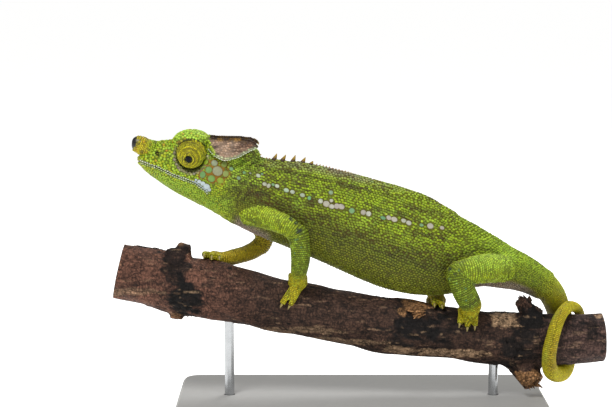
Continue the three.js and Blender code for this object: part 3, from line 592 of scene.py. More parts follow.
def limb_field(name):
    rows = limb_rows(name)
    field = block_field(rows[:, :3].min(0) - LIMB_MARGIN, rows[:, :3].max(0) + LIMB_MARGIN)
    field.add(loft(rows[:KNEE + 1], 0, KNEE, 60, 40), TIGHT)
    field.add(loft(rows[KNEE:], 0, ANKLE, 60, 40), SHANK_SOFT)
    field.add(ellipsoid(rows[KNEE][:3], [rows[KNEE][3]] * 3), KNEE_SOFT)
    grip_field(name, field)
    return field


def body_field():
    """Head, trunk and tail, with the brows and the flaps behind the head."""
    field = Field(GRID_START, GRID_END)
    field.add(loft(SPINE, 0, TAIL_BASE_END, 300, 96, keel=KEEL), TIGHT)
    tail = loft(SPINE, TAIL_BASE_END - 0.3, len(SPINE) - 1, 300, 40, guide=(1, 0, 0))
    field.add(tail, TAIL_SOFT)
    for hand in SIDE.values():
        field.add(ellipsoid(np.array(BROW_CENTRE) * (1, hand, 1), BROW_RADII), BROW_SOFT)
        field.add(lobe_mesh(hand), LOBE_SOFT)
    field.add(ellipsoid(NAPE_CENTRE, NAPE_RADII), NAPE_SOFT)
    return field


def carve(field):
    """Mouth, lips, nostrils, folds and low bulges, on the voxels near the surface."""
    index, points = field.places(1.8)
    flat = points[:, [0, 2]]
    x, above = points[:, 0], above_mouth(points)
    mouth = line_distance(flat, MOUTH[1:])
    ahead = ramp(x, *MOUTH_END)
    change = LIP_DEPTH * bell(mouth, LIP_WIDTH) * ahead
    for rise, height in LIP_SWELL:
        change -= height * bell(above - rise, LIP_HALF) * ahead * ramp(mouth, 3.0, 1.5)
    flank = ramp(np.abs(points[:, 1]), 1.5, 3.0)
    for line, depth, width in side_lines():
        change += depth * bell(line_distance(flat, line), width) * flank
    nostril = side_distance(points, NOSTRIL, SNOUT_ASIDE)
    change += NOSTRIL_PIT[0] * bell(nostril, NOSTRIL_PIT[1])
    change -= NOSTRIL_RIM[0] * bell(nostril - 1.2, NOSTRIL_RIM[1])
    jaw = lengths((flat - seen(JAW_BULGE, CHEEK_ASIDE)) / JAW_RADII)
    change -= JAW_SWELL * np.exp(-jaw ** 2) * flank
    throat = ramp(above, -1.5, -4.0) * ramp(x, -36.0, -44.0)
    change += THROAT_FOLD * throat * np.sin(above * 2 * math.pi / THROAT_PLEATS)
    change += WRINKLE * layered_noise(points, WRINKLE_SIZE, seed=3)
    trunk = ramp(x, -34.0, -26.0) * ramp(x, 40.0, 30.0) * flank
    change += RIB_SWELL * trunk * np.sin(x * 2 * math.pi / RIB_SPACING + 0.12 * points[:, 2])
    field.values[index] += change.astype(np.float32)


owners = {"body": body_field()} | {name: limb_field(name) for name in LIMBS}
skin_field = Field(GRID_START, GRID_END)
for owner_name, owner in owners.items():
    skin_field.join(owner.values, owner.start, TIGHT if owner_name == "body" else LIMB_SOFT)
carve(skin_field)
for eye_hand in SIDE.values():
    skin_field.cut(lathe(SOCKET_PROFILE, eye_hand), SOCKET_SOFT)
    skin_field.add(lathe(TURRET_PROFILE, eye_hand), TURRET_SOFT)
    skin_field.cut(lathe(EYE_OPENING, eye_hand), TIGHT)
skin_field.values += COAT_DEPTH

# ------------------------------------------------------------------ where a point lies on the animal

def tree_of(points):
    tree = KDTree(len(points))
    for number, point in enumerate(points):
        tree.insert(point, number)
    tree.balance()
    return tree


def nearest(tree, points):
    return np.array([tree.find(point)[1] for point in points], int)


def axis(rows, steps, guide=(0, 1, 0)):
    """The middle line of one stretch of the animal, with places and directions along it."""
    places = np.linspace(0, len(rows) - 1, steps)
    values, heading, across, above = frames(rows, places, guide)
    return {"points": values[:, :3], "places": places, "length": path_length(values[:, :3]),
            "heading": heading, "across": across, "above": above}


AXES = {"body": [axis(SPINE, 700)]}
for limb_name in LIMBS:
    AXES[limb_name] = [axis(limb_rows(limb_name), 150)]
    AXES[limb_name] += [axis(toe, 30, (1, 0, 0)) for toe, _ in toe_rows(limb_name)]
OWNERS = list(AXES)


class Lie:
    """For many points: the stretch that owns each, its place along it, and its turn round it."""

    def __init__(self, points):
        count = len(points)
        depths = np.stack([owners[name].at(points) if name == "body" else
                           np.where(self.inside(name, points), owners[name].at(points), FAR)
                           for name in OWNERS], -1)
        self.owner = np.argmin(depths, axis=1)
        self.axis, self.place, self.along = np.zeros(count, int), np.zeros(count), np.zeros(count)
        rise, aside = np.zeros(count), np.zeros(count)
        self.heading = np.zeros((count, 3))
        for number, name in enumerate(OWNERS):
            mine = np.nonzero(self.owner == number)[0]
            if not len(mine):
                continue
            lines = AXES[name]
            which = np.repeat(range(len(lines)), [len(line["points"]) for line in lines])
            line = {key: np.concatenate([line[key] for line in lines]) for key in lines[0]}
            found = nearest(tree_of(line["points"]), points[mine])
            offset = points[mine] - line["points"][found]
            self.axis[mine], self.place[mine] = which[found], line["places"][found]
            self.along[mine] = line["length"][found] + np.sum(offset * line["heading"][found], 1)
            self.heading[mine] = line["heading"][found]
            rise[mine] = np.sum(offset * line["above"][found], 1)
            aside[mine] = np.sum(offset * line["across"][found], 1)
        self.turn = np.arctan2(rise, aside)
        self.limb = self.owner > 0
        self.body = ~self.limb

    @staticmethod
    def inside(name, points):
        field = owners[name]
        low = (field.start + 1) * VOXEL
        high = (field.start + field.values.shape - 2) * VOXEL
        return np.all((points > low) & (points < high), axis=1)


# ------------------------------------------------------------------ laying out the scales

TURRET_SCALES = 0.52
TOE_SCALES = 0.6
BODY_SCALES = np.array([     # x, mm from one scale to the next
    [-74, 0.85], [-66, 0.95], [-56, 0.85], [-48, 0.8], [-40, 0.75], [-34, 0.78], [-26, 0.92], [20, 0.95],
    [40, 0.85], [50, 0.7], [62, 0.62],
])
TAIL_SCALES = np.array([[TAIL_BASE_END, 0.68], [28, 0.66], [len(SPINE) - 1, 0.6]])     # place, mm
LIMB_SCALES = np.array([[0, 0.80], [2, 0.76], [5, 0.64], [6, 0.6]])
WAVE = 0.85                  # mm by which the rows of the trunk's scales wander
WAVE_SIZE = 6.0
SCATTER = (0.13, 0.085)      # mm by which single scales of the head and of the trunk stray from theirs
HEAD_END = -44


def looked_up(table, at):
    return np.interp(at, table[:, 0], table[:, 1])


def turret_reach(points):
    """How far points lie from the nearer turret's gaze axis, and along it."""
    reach, along = np.full(len(points), 99.0), np.zeros(len(points))
    for hand in SIDE.values():
        outward, ahead = about_gaze(points, *gaze_frame(hand))
        take = points[:, 1] * hand > 0
        reach[take], along[take] = lengths(outward)[take], ahead[take]
    return reach, along


def is_turret(points, lie):
    reach, along = turret_reach(points)
    return (reach < TURRET_RADIUS + 0.1) & (along > 0.2) & lie.body


def scale_pitch(points, lie):
    """How far apart neighbouring scales lie, in millimetres."""
    x = points[:, 0]
    below = ramp(np.sin(lie.turn), 0.0, -0.8)
    body = looked_up(BODY_SCALES, x) * (1 - (0.22 + 0.12 * ramp(x, HEAD_END, -50)) * below)
    body = np.where(lie.place > TAIL_BASE_END, looked_up(TAIL_SCALES, lie.place), body)
    limb = np.where(lie.axis > 0, TOE_SCALES, looked_up(LIMB_SCALES, lie.place))
    return np.where(is_turret(points, lie), TURRET_SCALES, np.where(lie.limb, limb, body))


def rings_on(rows, start, end, pitch, guide=(0, 1, 0), keel=0.0, lengthwise=False):
    """Points in staggered rings on a loft; lengthwise, they lie close along it and further apart round it."""
    points, place, odd = [], start, 0
    step, spread = (0.5, 1.74) if lengthwise else (0.87, 1.0)
    turns = math.pi / 2 + np.linspace(-math.pi, math.pi, 241)
    while place < end:
        circle = loft_points(rows, [place], turns, guide=guide, keel=keel)[0]
        around = path_length(circle)
        gap = pitch(place)
        count = around[-1] / 2 / (spread * gap)
        marks = np.arange(-math.floor(count), math.floor(count) + 1) + (0.5 if odd else 0.0)
        marks = marks[np.abs(marks) <= count - 0.3] * spread * gap + around[-1] / 2
        points.append(np.stack([np.interp(marks, around, circle[:, column]) for column in range(3)], -1))
        place += step * gap / headings(rows, np.array([place]))[1][0]
        odd = 1 - odd
    return np.concatenate(points)


def turret_rings():
    points = []
    profile = np.array(TURRET_PROFILE[2:12])[::-1]
    steps = path_length(profile)
    for hand in SIDE.values():
        centre, axes = gaze_frame(hand)
        for number, mark in enumerate(np.arange(0.1, steps[-1], 0.9 * TURRET_SCALES)):
            radius, along = (np.interp(mark, steps, profile[:, column]) for column in (0, 1))
            count = max(8, round(2 * math.pi * radius / TURRET_SCALES))
            around = ring_angles(count) + number * math.pi / count
            circle = np.cos(around)[:, None] * axes[0] + np.sin(around)[:, None] * axes[1]
            points.append(centre + radius * circle + along * axes[2])
    return np.concatenate(points)


def wave_of(points):
    """How far rows wander at each point, less on the head."""
    drift = np.stack([layered_noise(points, WAVE_SIZE, seed=seed) for seed in (41, 42, 43)], -1)
    return WAVE * (ramp(points[:, 0], -46, -38)[:, None] * drift)


def first_candidates():
    """Where scales would stand in even rows, before they give way to each other."""
    body = rings_on(SPINE, 0.6, TAIL_BASE_END, keel=KEEL, lengthwise=True,
                    pitch=lambda place: looked_up(BODY_SCALES, rows_at(SPINE, place)[0, 0]))
    body = body + wave_of(body)
    strays = np.where(body[:, :1] < HEAD_END, *SCATTER)
    body += strays * np.random.default_rng(23).normal(0, 1, body.shape)
    tail = rings_on(SPINE, TAIL_BASE_END, len(SPINE) - 1, lambda place: looked_up(TAIL_SCALES, place),
                    guide=(1, 0, 0))
    groups = [turret_rings(), body, tail]
    for name in LIMBS:
        rows = limb_rows(name)
        groups.append(rings_on(rows, 0.8, len(rows) - 1.4, lambda place: looked_up(LIMB_SCALES, place)))
        groups += [rings_on(toe, 0.3, len(toe) - 1.05, lambda place: TOE_SCALES, guide=(1, 0, 0))
                   for toe, _ in toe_rows(name)]
    return np.concatenate(groups)


def thin_out(points, reach):
    """Numbers of the points that stay so that none is nearer to an earlier one than its reach."""
    tree = tree_of(points)
    gone = bytearray(len(points))
    kept = []
    for number, point in enumerate(points):
        if gone[number]:
            continue
        kept.append(number)
        for _, other, _ in tree.find_range(point, float(reach[number])):
            if other > number:
                gone[other] = 1
    return np.array(kept)


def settle(points, reach, turns, strength):
    """Points pushed apart along the skin where they crowd."""
    for _ in range(turns):
        tree = tree_of(points)
        push = np.zeros_like(points)
        for number, point in enumerate(points):
            mine = reach[number]
            for other, _, distance in tree.find_range(point, float(mine)):
                if distance > 1e-6:
                    push[number] += (point - np.array(other)) * (mine - distance) / distance
        points = skin_field.onto(points + strength * push, turns=2)
    return points


# ------------------------------------------------------------------ colours

def linear(red, green, blue):
    """A pigment given as the eight-bit values a screen shows, as light."""
    share = np.array([red, green, blue]) / 255
    return np.where(share <= 0.04045, share / 12.92, ((share + 0.055) / 1.055) ** 2.4)


LIME = linear(168, 204, 66)
LEAF = linear(140, 164, 26)
GRASS = linear(114, 142, 22)
MOSS = linear(98, 108, 20)
OLIVE = linear(108, 112, 18)
STRAW = linear(184, 172, 20)
GOLD = linear(158, 138, 22)
RUST = linear(104, 56, 26)
UMBER = linear(52, 35, 22)
LILAC = linear(150, 130, 124)
PEARL = linear(182, 187, 172)
TURQUOISE = linear(98, 150, 104)
EMBER = linear(182, 82, 28)
ROSE = linear(150, 124, 102)
OCHRE = linear(180, 132, 30)
INK = linear(16, 14, 16)
SLATE = linear(40, 54, 70)

# Large scales of each side: the photo's pixel, radius in mm, pigment.
LATERAL_PLATES = [
    ((258, 177), 0.8, PEARL), ((264.5, 185.2), 0.8, PEARL), ((268.5, 186.7), 0.9, PEARL),
    ((272.9, 185.6), 0.6, TURQUOISE), ((276.9, 187.0), 0.95, PEARL), ((286.3, 190.9), 0.85, PEARL),
    ((292.4, 192.6), 0.95, PEARL), ((302.4, 195.9), 0.95, PEARL), ((309.2, 198.8), 0.8, TURQUOISE),
    ((320.5, 201.8), 0.9, PEARL), ((326.3, 204.5), 1.3, PEARL), ((331.8, 207.0), 0.95, PEARL),
    ((336.8, 206.6), 1.1, PEARL), ((341.2, 207.3), 1.15, PEARL), ((331.5, 201.5), 0.75, PEARL),
    ((351.9, 211.2), 1.0, TURQUOISE), ((363.4, 213.0), 1.05, PEARL), ((368.7, 214.2), 1.15, PEARL),
    ((383.2, 218.4), 0.8, TURQUOISE), ((389.0, 218.4), 0.95, PEARL), ((394.3, 220.1), 1.2, PEARL),
    ((403.8, 221.4), 0.9, PEARL), ((409.0, 223.6), 1.15, PEARL), ((421.7, 226.0), 0.75, TURQUOISE),
    ((430.7, 227.0), 1.15, PEARL), ((442.5, 229.2), 0.85, PEARL), ((331.0, 193.5), 0.8, TURQUOISE),
]
TEMPORAL_PLATES = [
    ((214.3, 163.3), 1.15, TURQUOISE), ((208.8, 169.8), 1.1, TURQUOISE), ((217.6, 171.0), 1.7, TURQUOISE),
    ((202.9, 174.4), 1.0, TURQUOISE), ((211.6, 178.2), 1.2, TURQUOISE), ((223.9, 164.6), 1.1, GRASS),
    ((225.6, 173.8), 1.1, GRASS), ((220.4, 180.2), 1.0, LEAF), ((206.4, 162.6), 0.85, LEAF),
    ((231.0, 169.4), 0.75, TURQUOISE), ((238.4, 178.4), 0.7, TURQUOISE), ((244.0, 173.5), 0.55, TURQUOISE),
    ((250.0, 174.0), 0.5, TURQUOISE), ((233.0, 176.5), 0.6, LEAF), ((262.0, 175.0), 0.5, TURQUOISE),
    ((199.4, 181.4), 0.55, PEARL), ((203.0, 183.4), 0.75, PEARL), ((206.8, 186.2), 0.9, PEARL),
    ((209.4, 189.4), 0.65, PEARL), ((196.2, 179.6), 0.4, PEARL),
]
MOSAIC = 9    # how many of these lie edge to edge on the temple, with red between them
DARK_PATCHES = [   # the photo's pixel, half length and half height in mm, strength
    ((261, 195), 3.2, 1.1, 0.75), ((312, 203), 1.6, 1.1, 0.75), ((324, 217), 2.0, 0.7, 0.6),
    ((415, 234), 2.2, 1.2, 0.6), ((377, 222), 1.8, 0.8, 0.45), ((446, 236), 1.6, 1.0, 0.4),
    ((300, 178), 3.0, 0.7, 0.4), ((352, 196), 3.0, 0.8, 0.3), ((345, 232), 3.0, 1.0, 0.3),
]
SHANK_DOTS = [
    ((447, 264), 0.35), ((453, 261), 0.3), ((458, 268), 0.35), ((449, 278), 0.35), ((456, 281), 0.3),
    ((464, 286), 0.35), ((470, 292), 0.3), ((465, 299), 0.35), ((475, 284), 0.3), ((477, 296), 0.3),
    ((297, 238), 0.3), ((302, 246), 0.3), ((295, 252), 0.3),
]
LIMB_SPOTS = [((299, 230), 1.0), ((291, 218), 0.7), ((296, 222), 0.4), ((450, 268), 0.5), ((454, 273), 0.45)]
LEG_ASIDE = 12.0        # how far from the middle plane the near limbs show
ROW_SPACING = 2.3       # mm between the lines of painted crease shade along the flank
STREAK_TURN = np.array([[0.94, 0, 0.34], [0, 1, 0], [-0.34, 0, 0.94]])     # slope of the flank's streaks
BROW_HIGHLIGHT = ([56.2, 3.4, 93.0], [6.5, 4.0, 3.0])       # middle and reach of the painted highlight on top of each brow
EYELID_LINES = [(1.35, 0.7), (2.25, 0.4), (3.1, 0.9), (3.85, 0.4), (4.45, 0.6)]     # mm from it, strength
EYELID_LINE = 0.17      # half width of these lines
EYELID_LIGHT = [1.14, 1.2, 1.0]
NECK_FLOW = [(216, 208), (230, 198), (243, 185), (254, 174), (264, 170), (280, 175), (300, 180), (322, 187)]
FLOW_SPACING = 1.55     # mm between the painted shadows of the folds that follow that line round the shoulder
LOBE_SHEET = 0.17
LOBE_FRONT, LOBE_SLANT, LOBE_TOP = -49.8, 0.45, 91.5   # where the flap's own colour starts
LOBE_END = -33.2


def mix(one, other, share):
    return one + (other - one) * np.asarray(share)[..., None]


def washes(colour, *layers):
    """A colour with others laid over it in turn, each given with its share."""
    for pigment, share in layers:
        colour = mix(colour, pigment, share)
    return colour


def outward_tilt(points, normals):
    """How far the surface at each point looks away from the middle plane."""
    return normals[:, 1] * np.sign(points[:, 1])


def on_lobe(points):
    """Share to which points lie on a flap, their degrees over its lower edge and those up to its top."""
    across, rise = np.abs(points[:, 1]) / LOBE_REACH[0], (points[:, 2] - LOBE_MIDDLE) / LOBE_REACH[1]
    angle = np.degrees(np.arctan2(rise, across))
    low, high = (np.interp(points[:, 0], LOBE[:, 0], LOBE[:, column]) for column in (1, 2))
    near = ramp(np.abs(np.hypot(across, rise) - 0.95), LOBE_SHEET, 0.1)
    front = LOBE_FRONT + LOBE_SLANT * (LOBE_TOP - points[:, 2])
    along = ramp(points[:, 0], front - 0.4, front + 0.4) * (points[:, 0] < LOBE_END)
    inside = ramp(angle, low - 4, low + 3) * ramp(angle, high + 8, high + 2)
    return near * along * inside, angle - low, high - angle


def spots(points, marks, aside, soft=0.35):
    """Share to which points lie in marks seen from the side: pixel and radius, or two radii and strength."""
    share = np.zeros(len(points))
    flat = points[:, [0, 2]] + 0.35 * value_noise(points, 1.1, seed=31)[:, None]
    for pixel, length, *rest in marks:
        height, strength = rest or (length, 1.0)
        offset = (flat - seen(pixel, aside)) / (length, height)
        share = np.maximum(share, strength * ramp(lengths(offset), 1 + soft, 1 - soft))
    return share


def body_colour(points, lie, up, cloud, fleck):
    """Head, trunk and tail, before their markings."""
    x, z, mouth = points[:, 0], points[:, 2], above_mouth(points)
    head, tail = ramp(x, -40, -47), ramp(lie.place, 23.6, 26.2)
    throat = head * ramp(mouth, -0.5, -2.5)
    snout_top = ramp(x, -62, -70) * ramp(mouth, 2.5, 5)
    brow_highlight = np.exp(-np.sum(((np.abs(points) - BROW_HIGHLIGHT[0]) / BROW_HIGHLIGHT[1]) ** 2, axis=1))
    nape = ramp(x, -46, -43) * ramp(x, -31, -34) * ramp(z, 75, 78)
    ridge = ramp(np.abs(points[:, 1]), 3.4, 1.0) * ramp(up, 0.5, 0.8) * ramp(x, -34, -30) * ramp(x, 20, -6)
    keel_line = ramp(up, -0.9, -0.985) * np.maximum(ramp(x, -44, -40) * ramp(x, -30, -36), ramp(x, 34, 38))
    chest = ramp(up, -0.78, -0.93) * ramp(x, -43, -40) * ramp(x, -29, -32)
    vent = ramp(up, -0.5, -0.75) * ramp(x, 36, 40) * ramp(x, 60, 54)
    return washes(
        MOSS,
        (LEAF, 0.9 * ramp(up, 0.1, 0.85)),
        (OLIVE, 0.9 * ramp(up, -0.05, -0.75)),
        (LEAF, 0.85 * ramp(x, 24, 42) * ramp(up, -0.75, 0.1)),
        (LIME, 0.25 * ramp(x, 30, 50) * ramp(up, 0.3, 1)),
        (GOLD, 0.55 * ramp(x, 30, 44) * ramp(up, -0.3, -0.9)),
        (LEAF, 0.85 * head),
        (0.5 * LIME + 0.5 * GRASS, 0.75 * throat),
        (STRAW, 0.35 * throat * ramp(mouth, -4, -9)),
        (STRAW, 0.45 * ramp(x, -66, -74) * ramp(mouth, 2.5, 0.0)),
        (OCHRE, 0.35 * snout_top * ramp(fleck, -0.1, 0.4)),
        # painted highlight: lime on top of each brow
        (LIME, 0.9 * ramp(brow_highlight, 0.25, 0.7)),
        # painted light: the nape, which lies in the flaps' shade, is washed paler green
        (0.6 * LIME + 0.4 * LEAF, 0.7 * nape),
        (MOSS, 0.55 * ramp(x, 46, 54) * ramp(up, 0.95, 0.4)),
        (mix(STRAW, GOLD, ramp(cloud, -0.2, 0.6)), tail),
        (mix(LILAC * 0.8, RUST, ramp(fleck, -0.2, 0.5)), 0.7 * ridge),
        (LILAC, 0.7 * keel_line * (1 - tail)),
        (LILAC * 1.1, 0.55 * chest),
        (LILAC * 0.8, 0.75 * vent * (1 - tail)))


def limb_colour(points, lie, normals, fleck):
    """The limbs, before their spots: hands and feet are yellow, and so is each limb's inner side."""
    x, place, top = points[:, 0], lie.place, normals[:, 2]
    hand = np.where(x > 0, ramp(place, 4.7, 5.2), ramp(place, 4.6, 5.9))
    return washes(
        0.85 * LEAF + 0.15 * STRAW,
        (0.62 * GRASS + 0.1 * STRAW, ramp(place, 2.2, 3.4)),
        (MOSS, 0.6 * ramp(fleck, 0.0, 0.4)),
        # painted highlight: the upper arms and thighs are paler where they face up
        (0.7 * LIME + 0.4 * STRAW, 0.65 * ramp(place, 2.9, 1.4) * ramp(top, -0.1, 0.7)),
        (LIME, 0.5 * (x > 28) * ramp(place, 3.0, 1.6) * ramp(top, -0.3, 0.5)),
        (0.93 * STRAW, np.where(lie.axis > 0, 1.0, hand)),
        (UMBER, 0.75 * (lie.axis == 0) * (x > 0) * bell(place - 4.62, 0.10)),
        (GOLD * 1.3, 0.85 * ramp(outward_tilt(points, normals), 0.1, -0.5)))


def lobe_colour(points, normals, fleck):
    """The flaps behind the head: wrinkles drawn as painted shade, pale at the lower edge, dark along the top,
    and painted shade on the side that faces the neck.
    """
    _, above_edge, below_top = on_lobe(points)
    wrinkle_shade = layered_noise(points, (3.2, 0.7, 0.7), seed=13)
    return washes(
        ROSE * 1.12,
        # painted shade of the wrinkles
        (UMBER, 0.8 * ramp(wrinkle_shade, -0.1, 0.4)),
        (RUST, 0.4 * ramp(points[:, 0], -44, -36)),
        (0.6 * PEARL + 0.4 * LEAF, 0.8 * ramp(above_edge, 7, 4)),
        # painted shade on the side that faces the neck
        (UMBER * 0.8, 0.9 * ramp(outward_tilt(points, normals), 0.2, -0.4)),
        (mix(UMBER * 1.1, 0.5 * OCHRE + 0.5 * UMBER, ramp(fleck, -0.2, 0.5)), 0.9 * ramp(below_top, 16, 6)))


def eyelid_colour(reach, cloud, fleck):
    """The turret's skin: rings of dark lines round the eye, paler outside."""
    lines = sum(share * bell(reach - place, EYELID_LINE) for place, share in EYELID_LINES)
    eyelid = washes(
        STRAW,
        (LEAF, 0.35 * ramp(cloud, -0.3, 0.5)),
        (OLIVE, 0.6 * bell(reach - 4.1, 0.28) + 0.3 * ramp(fleck, 0, 0.5)))
    eyelid = eyelid * (1 + 0.3 * ramp(reach, 3.0, 3.6))[:, None] * EYELID_LIGHT
    return mix(eyelid, INK, np.clip(lines, 0, 0.9))


def animal_colour(points, lie, normals):
    """The scales' own colour and the colour of the skin between them, at each point; that skin is darker,
    partly its own colour and partly painted shade.
    """
    x, z, body = points[:, 0], points[:, 2], lie.body
    flat = points[:, [0, 2]]
    up = np.sin(lie.turn)
    cloud = layered_noise(points, (7, 7, 5), seed=5)
    fleck = layered_noise(points, 1.6, seed=9, layers=2)
    streak = layered_noise(points @ STREAK_TURN, (9, 3, 1.5), seed=11)
    colour = np.where(lie.limb[:, None], limb_colour(points, lie, normals, fleck),
                      body_colour(points, lie, up, cloud, fleck))

    flank = body * ramp(x, -46, -36) * ramp(x, 46, 26) * ramp(up, -0.75, -0.1)
    girth = np.abs(lie.turn - math.pi / 2) * 9.5 + 0.7 * layered_noise(points, (8, 5, 4), seed=15)
    crease_shade_line = np.abs(np.sin(girth * math.pi / ROW_SPACING)) < 0.34
    flow = line_distance(flat, [seen(pixel, FLANK_ASIDE) for pixel in NECK_FLOW])
    fold_shade_bands = ramp(np.cos(2 * math.pi * flow / FLOW_SPACING + 1.5 * fleck), 0.1, 0.7) * ramp(flow, 5.0, 3.5)
    colour = washes(
        colour,
        # painted shade of the creases between the flank's rows
        (UMBER, 0.54 * flank * ramp(up, -0.35, 0.35) * crease_shade_line * ramp(streak, -0.45, 0.15)),
        (UMBER, 0.5 * flank * ramp(streak, 0.1, 0.5)),
        # painted shade of the folds round the neck and shoulder
        (UMBER, 0.36 * fold_shade_bands * body * ramp(x, -49, -45) * ramp(x, -14, -20) * ramp(up, -0.9, -0.6)),
        (LIME, 0.35 * body * ramp(cloud, 0.1, 0.6) * ramp(up, 0.0, 0.7)),
        (UMBER, 0.9 * body * spots(points, DARK_PATCHES, FLANK_ASIDE, 0.6)))
    neck = ramp(x, -48, -42) * ramp(x, -24, -32)
    # the skin between the scales: a dark copy of their colour, partly painted shade between them, turning to
    # its own rust red on the flank and neck
    between = mix(colour * 0.22, RUST * 0.35, np.clip(0.75 * flank + 0.25 * neck, 0, 1) * ramp(up, -0.5, 0.3))

    def both(*layers):
        """Lays over the scales' colour and the skin's: pigment and share for the one and the other."""
        nonlocal colour, between
        for on_scales, scale_share, on_skin, skin_share in layers:
            colour, between = mix(colour, on_scales, scale_share), mix(between, on_skin, skin_share)

    lobe_share = on_lobe(points)[0] * body
    lobe = lobe_colour(points, normals, fleck)
    plates = [side_distance(points, pixel, CHEEK_ASIDE) - radius
              for pixel, radius, _ in TEMPORAL_PLATES[:MOSAIC]]
    border = bell(np.min(plates, axis=0) - 0.25, 0.45) * body * ramp(np.abs(points[:, 1]), 2, 4)
    reach, along = turret_reach(points)
    turret = body * (along > -1) * (along < 7) * ramp(reach, 5.1, 4.85)
    ring_and_furrow_shade = body * (along > -1.5) * (along < 5) * bell(reach - 5.02, 0.27)
    rim = body * (along > -0.5) * (along < 5) * bell(reach - 5.6, 0.3) * ramp(z, 91.0, 86.0)
    lid_line = body * (along > 0) * ramp(z, 88.5, 90.0) * bell(reach - 5.7, 0.4)
    mouth, head = np.abs(above_mouth(points)), ramp(x, -40, -47)
    lips = head * body * ramp(x, -49.5, -51)
    nostril_shade = head * ramp(side_distance(points, NOSTRIL, SNOUT_ASIDE), 1.1, 0.55)
    both((lobe, lobe_share, lobe * 0.5, lobe_share),
         (0.4 * EMBER + 0.6 * RUST, 0.3 * border, 0.3 * EMBER + 0.6 * RUST, 0.95 * border),
         (eyelid_colour(reach, cloud, fleck), turret, INK, 0.9 * turret),
         (LILAC * 1.1, 0.85 * rim, LILAC * 0.4, 0.6 * rim),
         # the dark ring round the turret: its own dark line, with painted shade in the furrow
         (INK, 0.95 * ring_and_furrow_shade, INK, 0.95 * ring_and_furrow_shade),
         (0.5 * OCHRE + 0.5 * RUST, 0.75 * lid_line, INK, 0),
         # pale lip scales, with painted shade on the skin in the mouth's slit
         (PEARL * 0.75, 0.5 * lips * ramp(mouth, 0.7, 0.45), UMBER * 0.5, lips * ramp(mouth, 0.8, 0.3)),
         # painted shade in the nostril
         (INK, 0.9 * nostril_shade, INK, 0.9 * nostril_shade))
    # painted shade along the folds, darker where they are deeper
    for line, depth, width in side_lines():
        fold_shade = bell(line_distance(flat, line), width) * body
        both((UMBER, min(0.6, depth) * fold_shade, UMBER * 0.4, 0.8 * fold_shade))

    leg = lie.limb * (lie.place < 4.5)
    return washes(colour,
                  (TURQUOISE * 0.85, 0.75 * leg * spots(points, SHANK_DOTS, LEG_ASIDE, 0.5)),
                  (SLATE * 0.4, 0.95 * leg * spots(points, LIMB_SPOTS, LEG_ASIDE))), between


# ------------------------------------------------------------------ meshes

def build(name, points, faces, colour=None, uv=None, smooth=True):
    """A mesh object from points in millimetres and rows of corner numbers, all rows alike in length."""
    mesh = bpy.data.meshes.new(name)
    faces = [np.asarray(rows) for rows in (faces if isinstance(faces, list) else [faces]) if len(rows)]
    corners = np.concatenate([rows.ravel() for rows in faces])
    sizes = np.concatenate([np.full(len(rows), rows.shape[1]) for rows in faces])
    mesh.vertices.add(len(points))
    mesh.vertices.foreach_set("co", (np.asarray(points) * MM).astype(np.float32).ravel())
    mesh.loops.add(len(corners))
    mesh.loops.foreach_set("vertex_index", corners.astype(np.int32))
    mesh.polygons.add(len(sizes))
    mesh.polygons.foreach_set("loop_start", np.concatenate([[0], np.cumsum(sizes)[:-1]]).astype(np.int32))
    if smooth:
        mesh.polygons.foreach_set("use_smooth", np.ones(len(sizes), bool))
    mesh.update(calc_edges=True)
    if colour is not None:
        layer = mesh.color_attributes.new("paint", "FLOAT_COLOR", "POINT")
        rgba = np.concatenate([np.clip(colour, 0, 1), np.ones((len(points), 1))], 1)
        layer.data.foreach_set("color", rgba.astype(np.float32).ravel())
    if uv is not None:
        layer = mesh.uv_layers.new(name="OFBake")
        layer.data.foreach_set("uv", uv[corners].astype(np.float32).ravel())
    mesh.validate()
    piece = bpy.data.objects.new(name, mesh)
    bpy.context.scene.collection.objects.link(piece)
    return piece


def finish_piece(piece, look, replaced=()):
    piece.data.materials.clear()
    piece.data.materials.append(look.made)
    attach(piece, "root")
    if replaced:
        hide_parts(*replaced)


def joined(parts):
    """One set of points and lists of faces from many meshes."""
    starts = np.cumsum([0] + [len(part[0]) for part in parts[:-1]])
    faces = [np.concatenate([part[k] + start for part, start in zip(parts, starts)])
             for k in range(1, len(parts[0]))]
    return np.concatenate([part[0] for part in parts]), faces


SCALE_SUNK = 0.12                  # mm that a scale's foot lies under the skin
SCALE_HALF = 0.56                  # half a scale's width as a share of its pitch
PATCH = 0.0015                     # half the width of a scale's patch on the unwrap
GRAIN_RINGS = [(0.78, 0.62)]       # rings of a dome: radius and height as shares of its own
HEAD_RINGS = [(0.88, 0.45), (0.5, 0.9)]
PLATE_RINGS = [(0.93, 0.5), (0.78, 0.86), (0.35, 0.97)]


def scale_template(sides, rings):
    """A dome's points on the flat, their heights, and its triangles; its foot is closed."""
    around = ring_angles(sides)
    circle = np.stack([np.cos(around), np.sin(around)], -1)
    flat = np.concatenate([circle] + [circle * radius for radius, _ in rings] + [[[0.0, 0.0]]])
    height = np.concatenate([np.zeros(sides)] + [np.full(sides, rise) for _, rise in rings] + [[1.0]])
    index = np.arange(sides)
    faces = [np.stack([np.zeros(sides - 2, int), index[2:], index[1:-1]], -1)]
    for ring in range(len(rings)):
        low, high = index + ring * sides, index + (ring + 1) * sides
        faces += [np.stack([low, np.roll(low, -1), np.roll(high, -1)], -1),
                  np.stack([low, np.roll(high, -1), high], -1)]
    faces.append(np.stack([high, np.roll(high, -1), np.full(sides, len(rings) * sides + sides)], -1))
    return flat, height, np.concatenate(faces)


FLESH = [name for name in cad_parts
         if not name.startswith(("stand_", "eyeball")) and name not in ("perch", "rostral_horn")]


# ------------------------------------------------------------------ materials

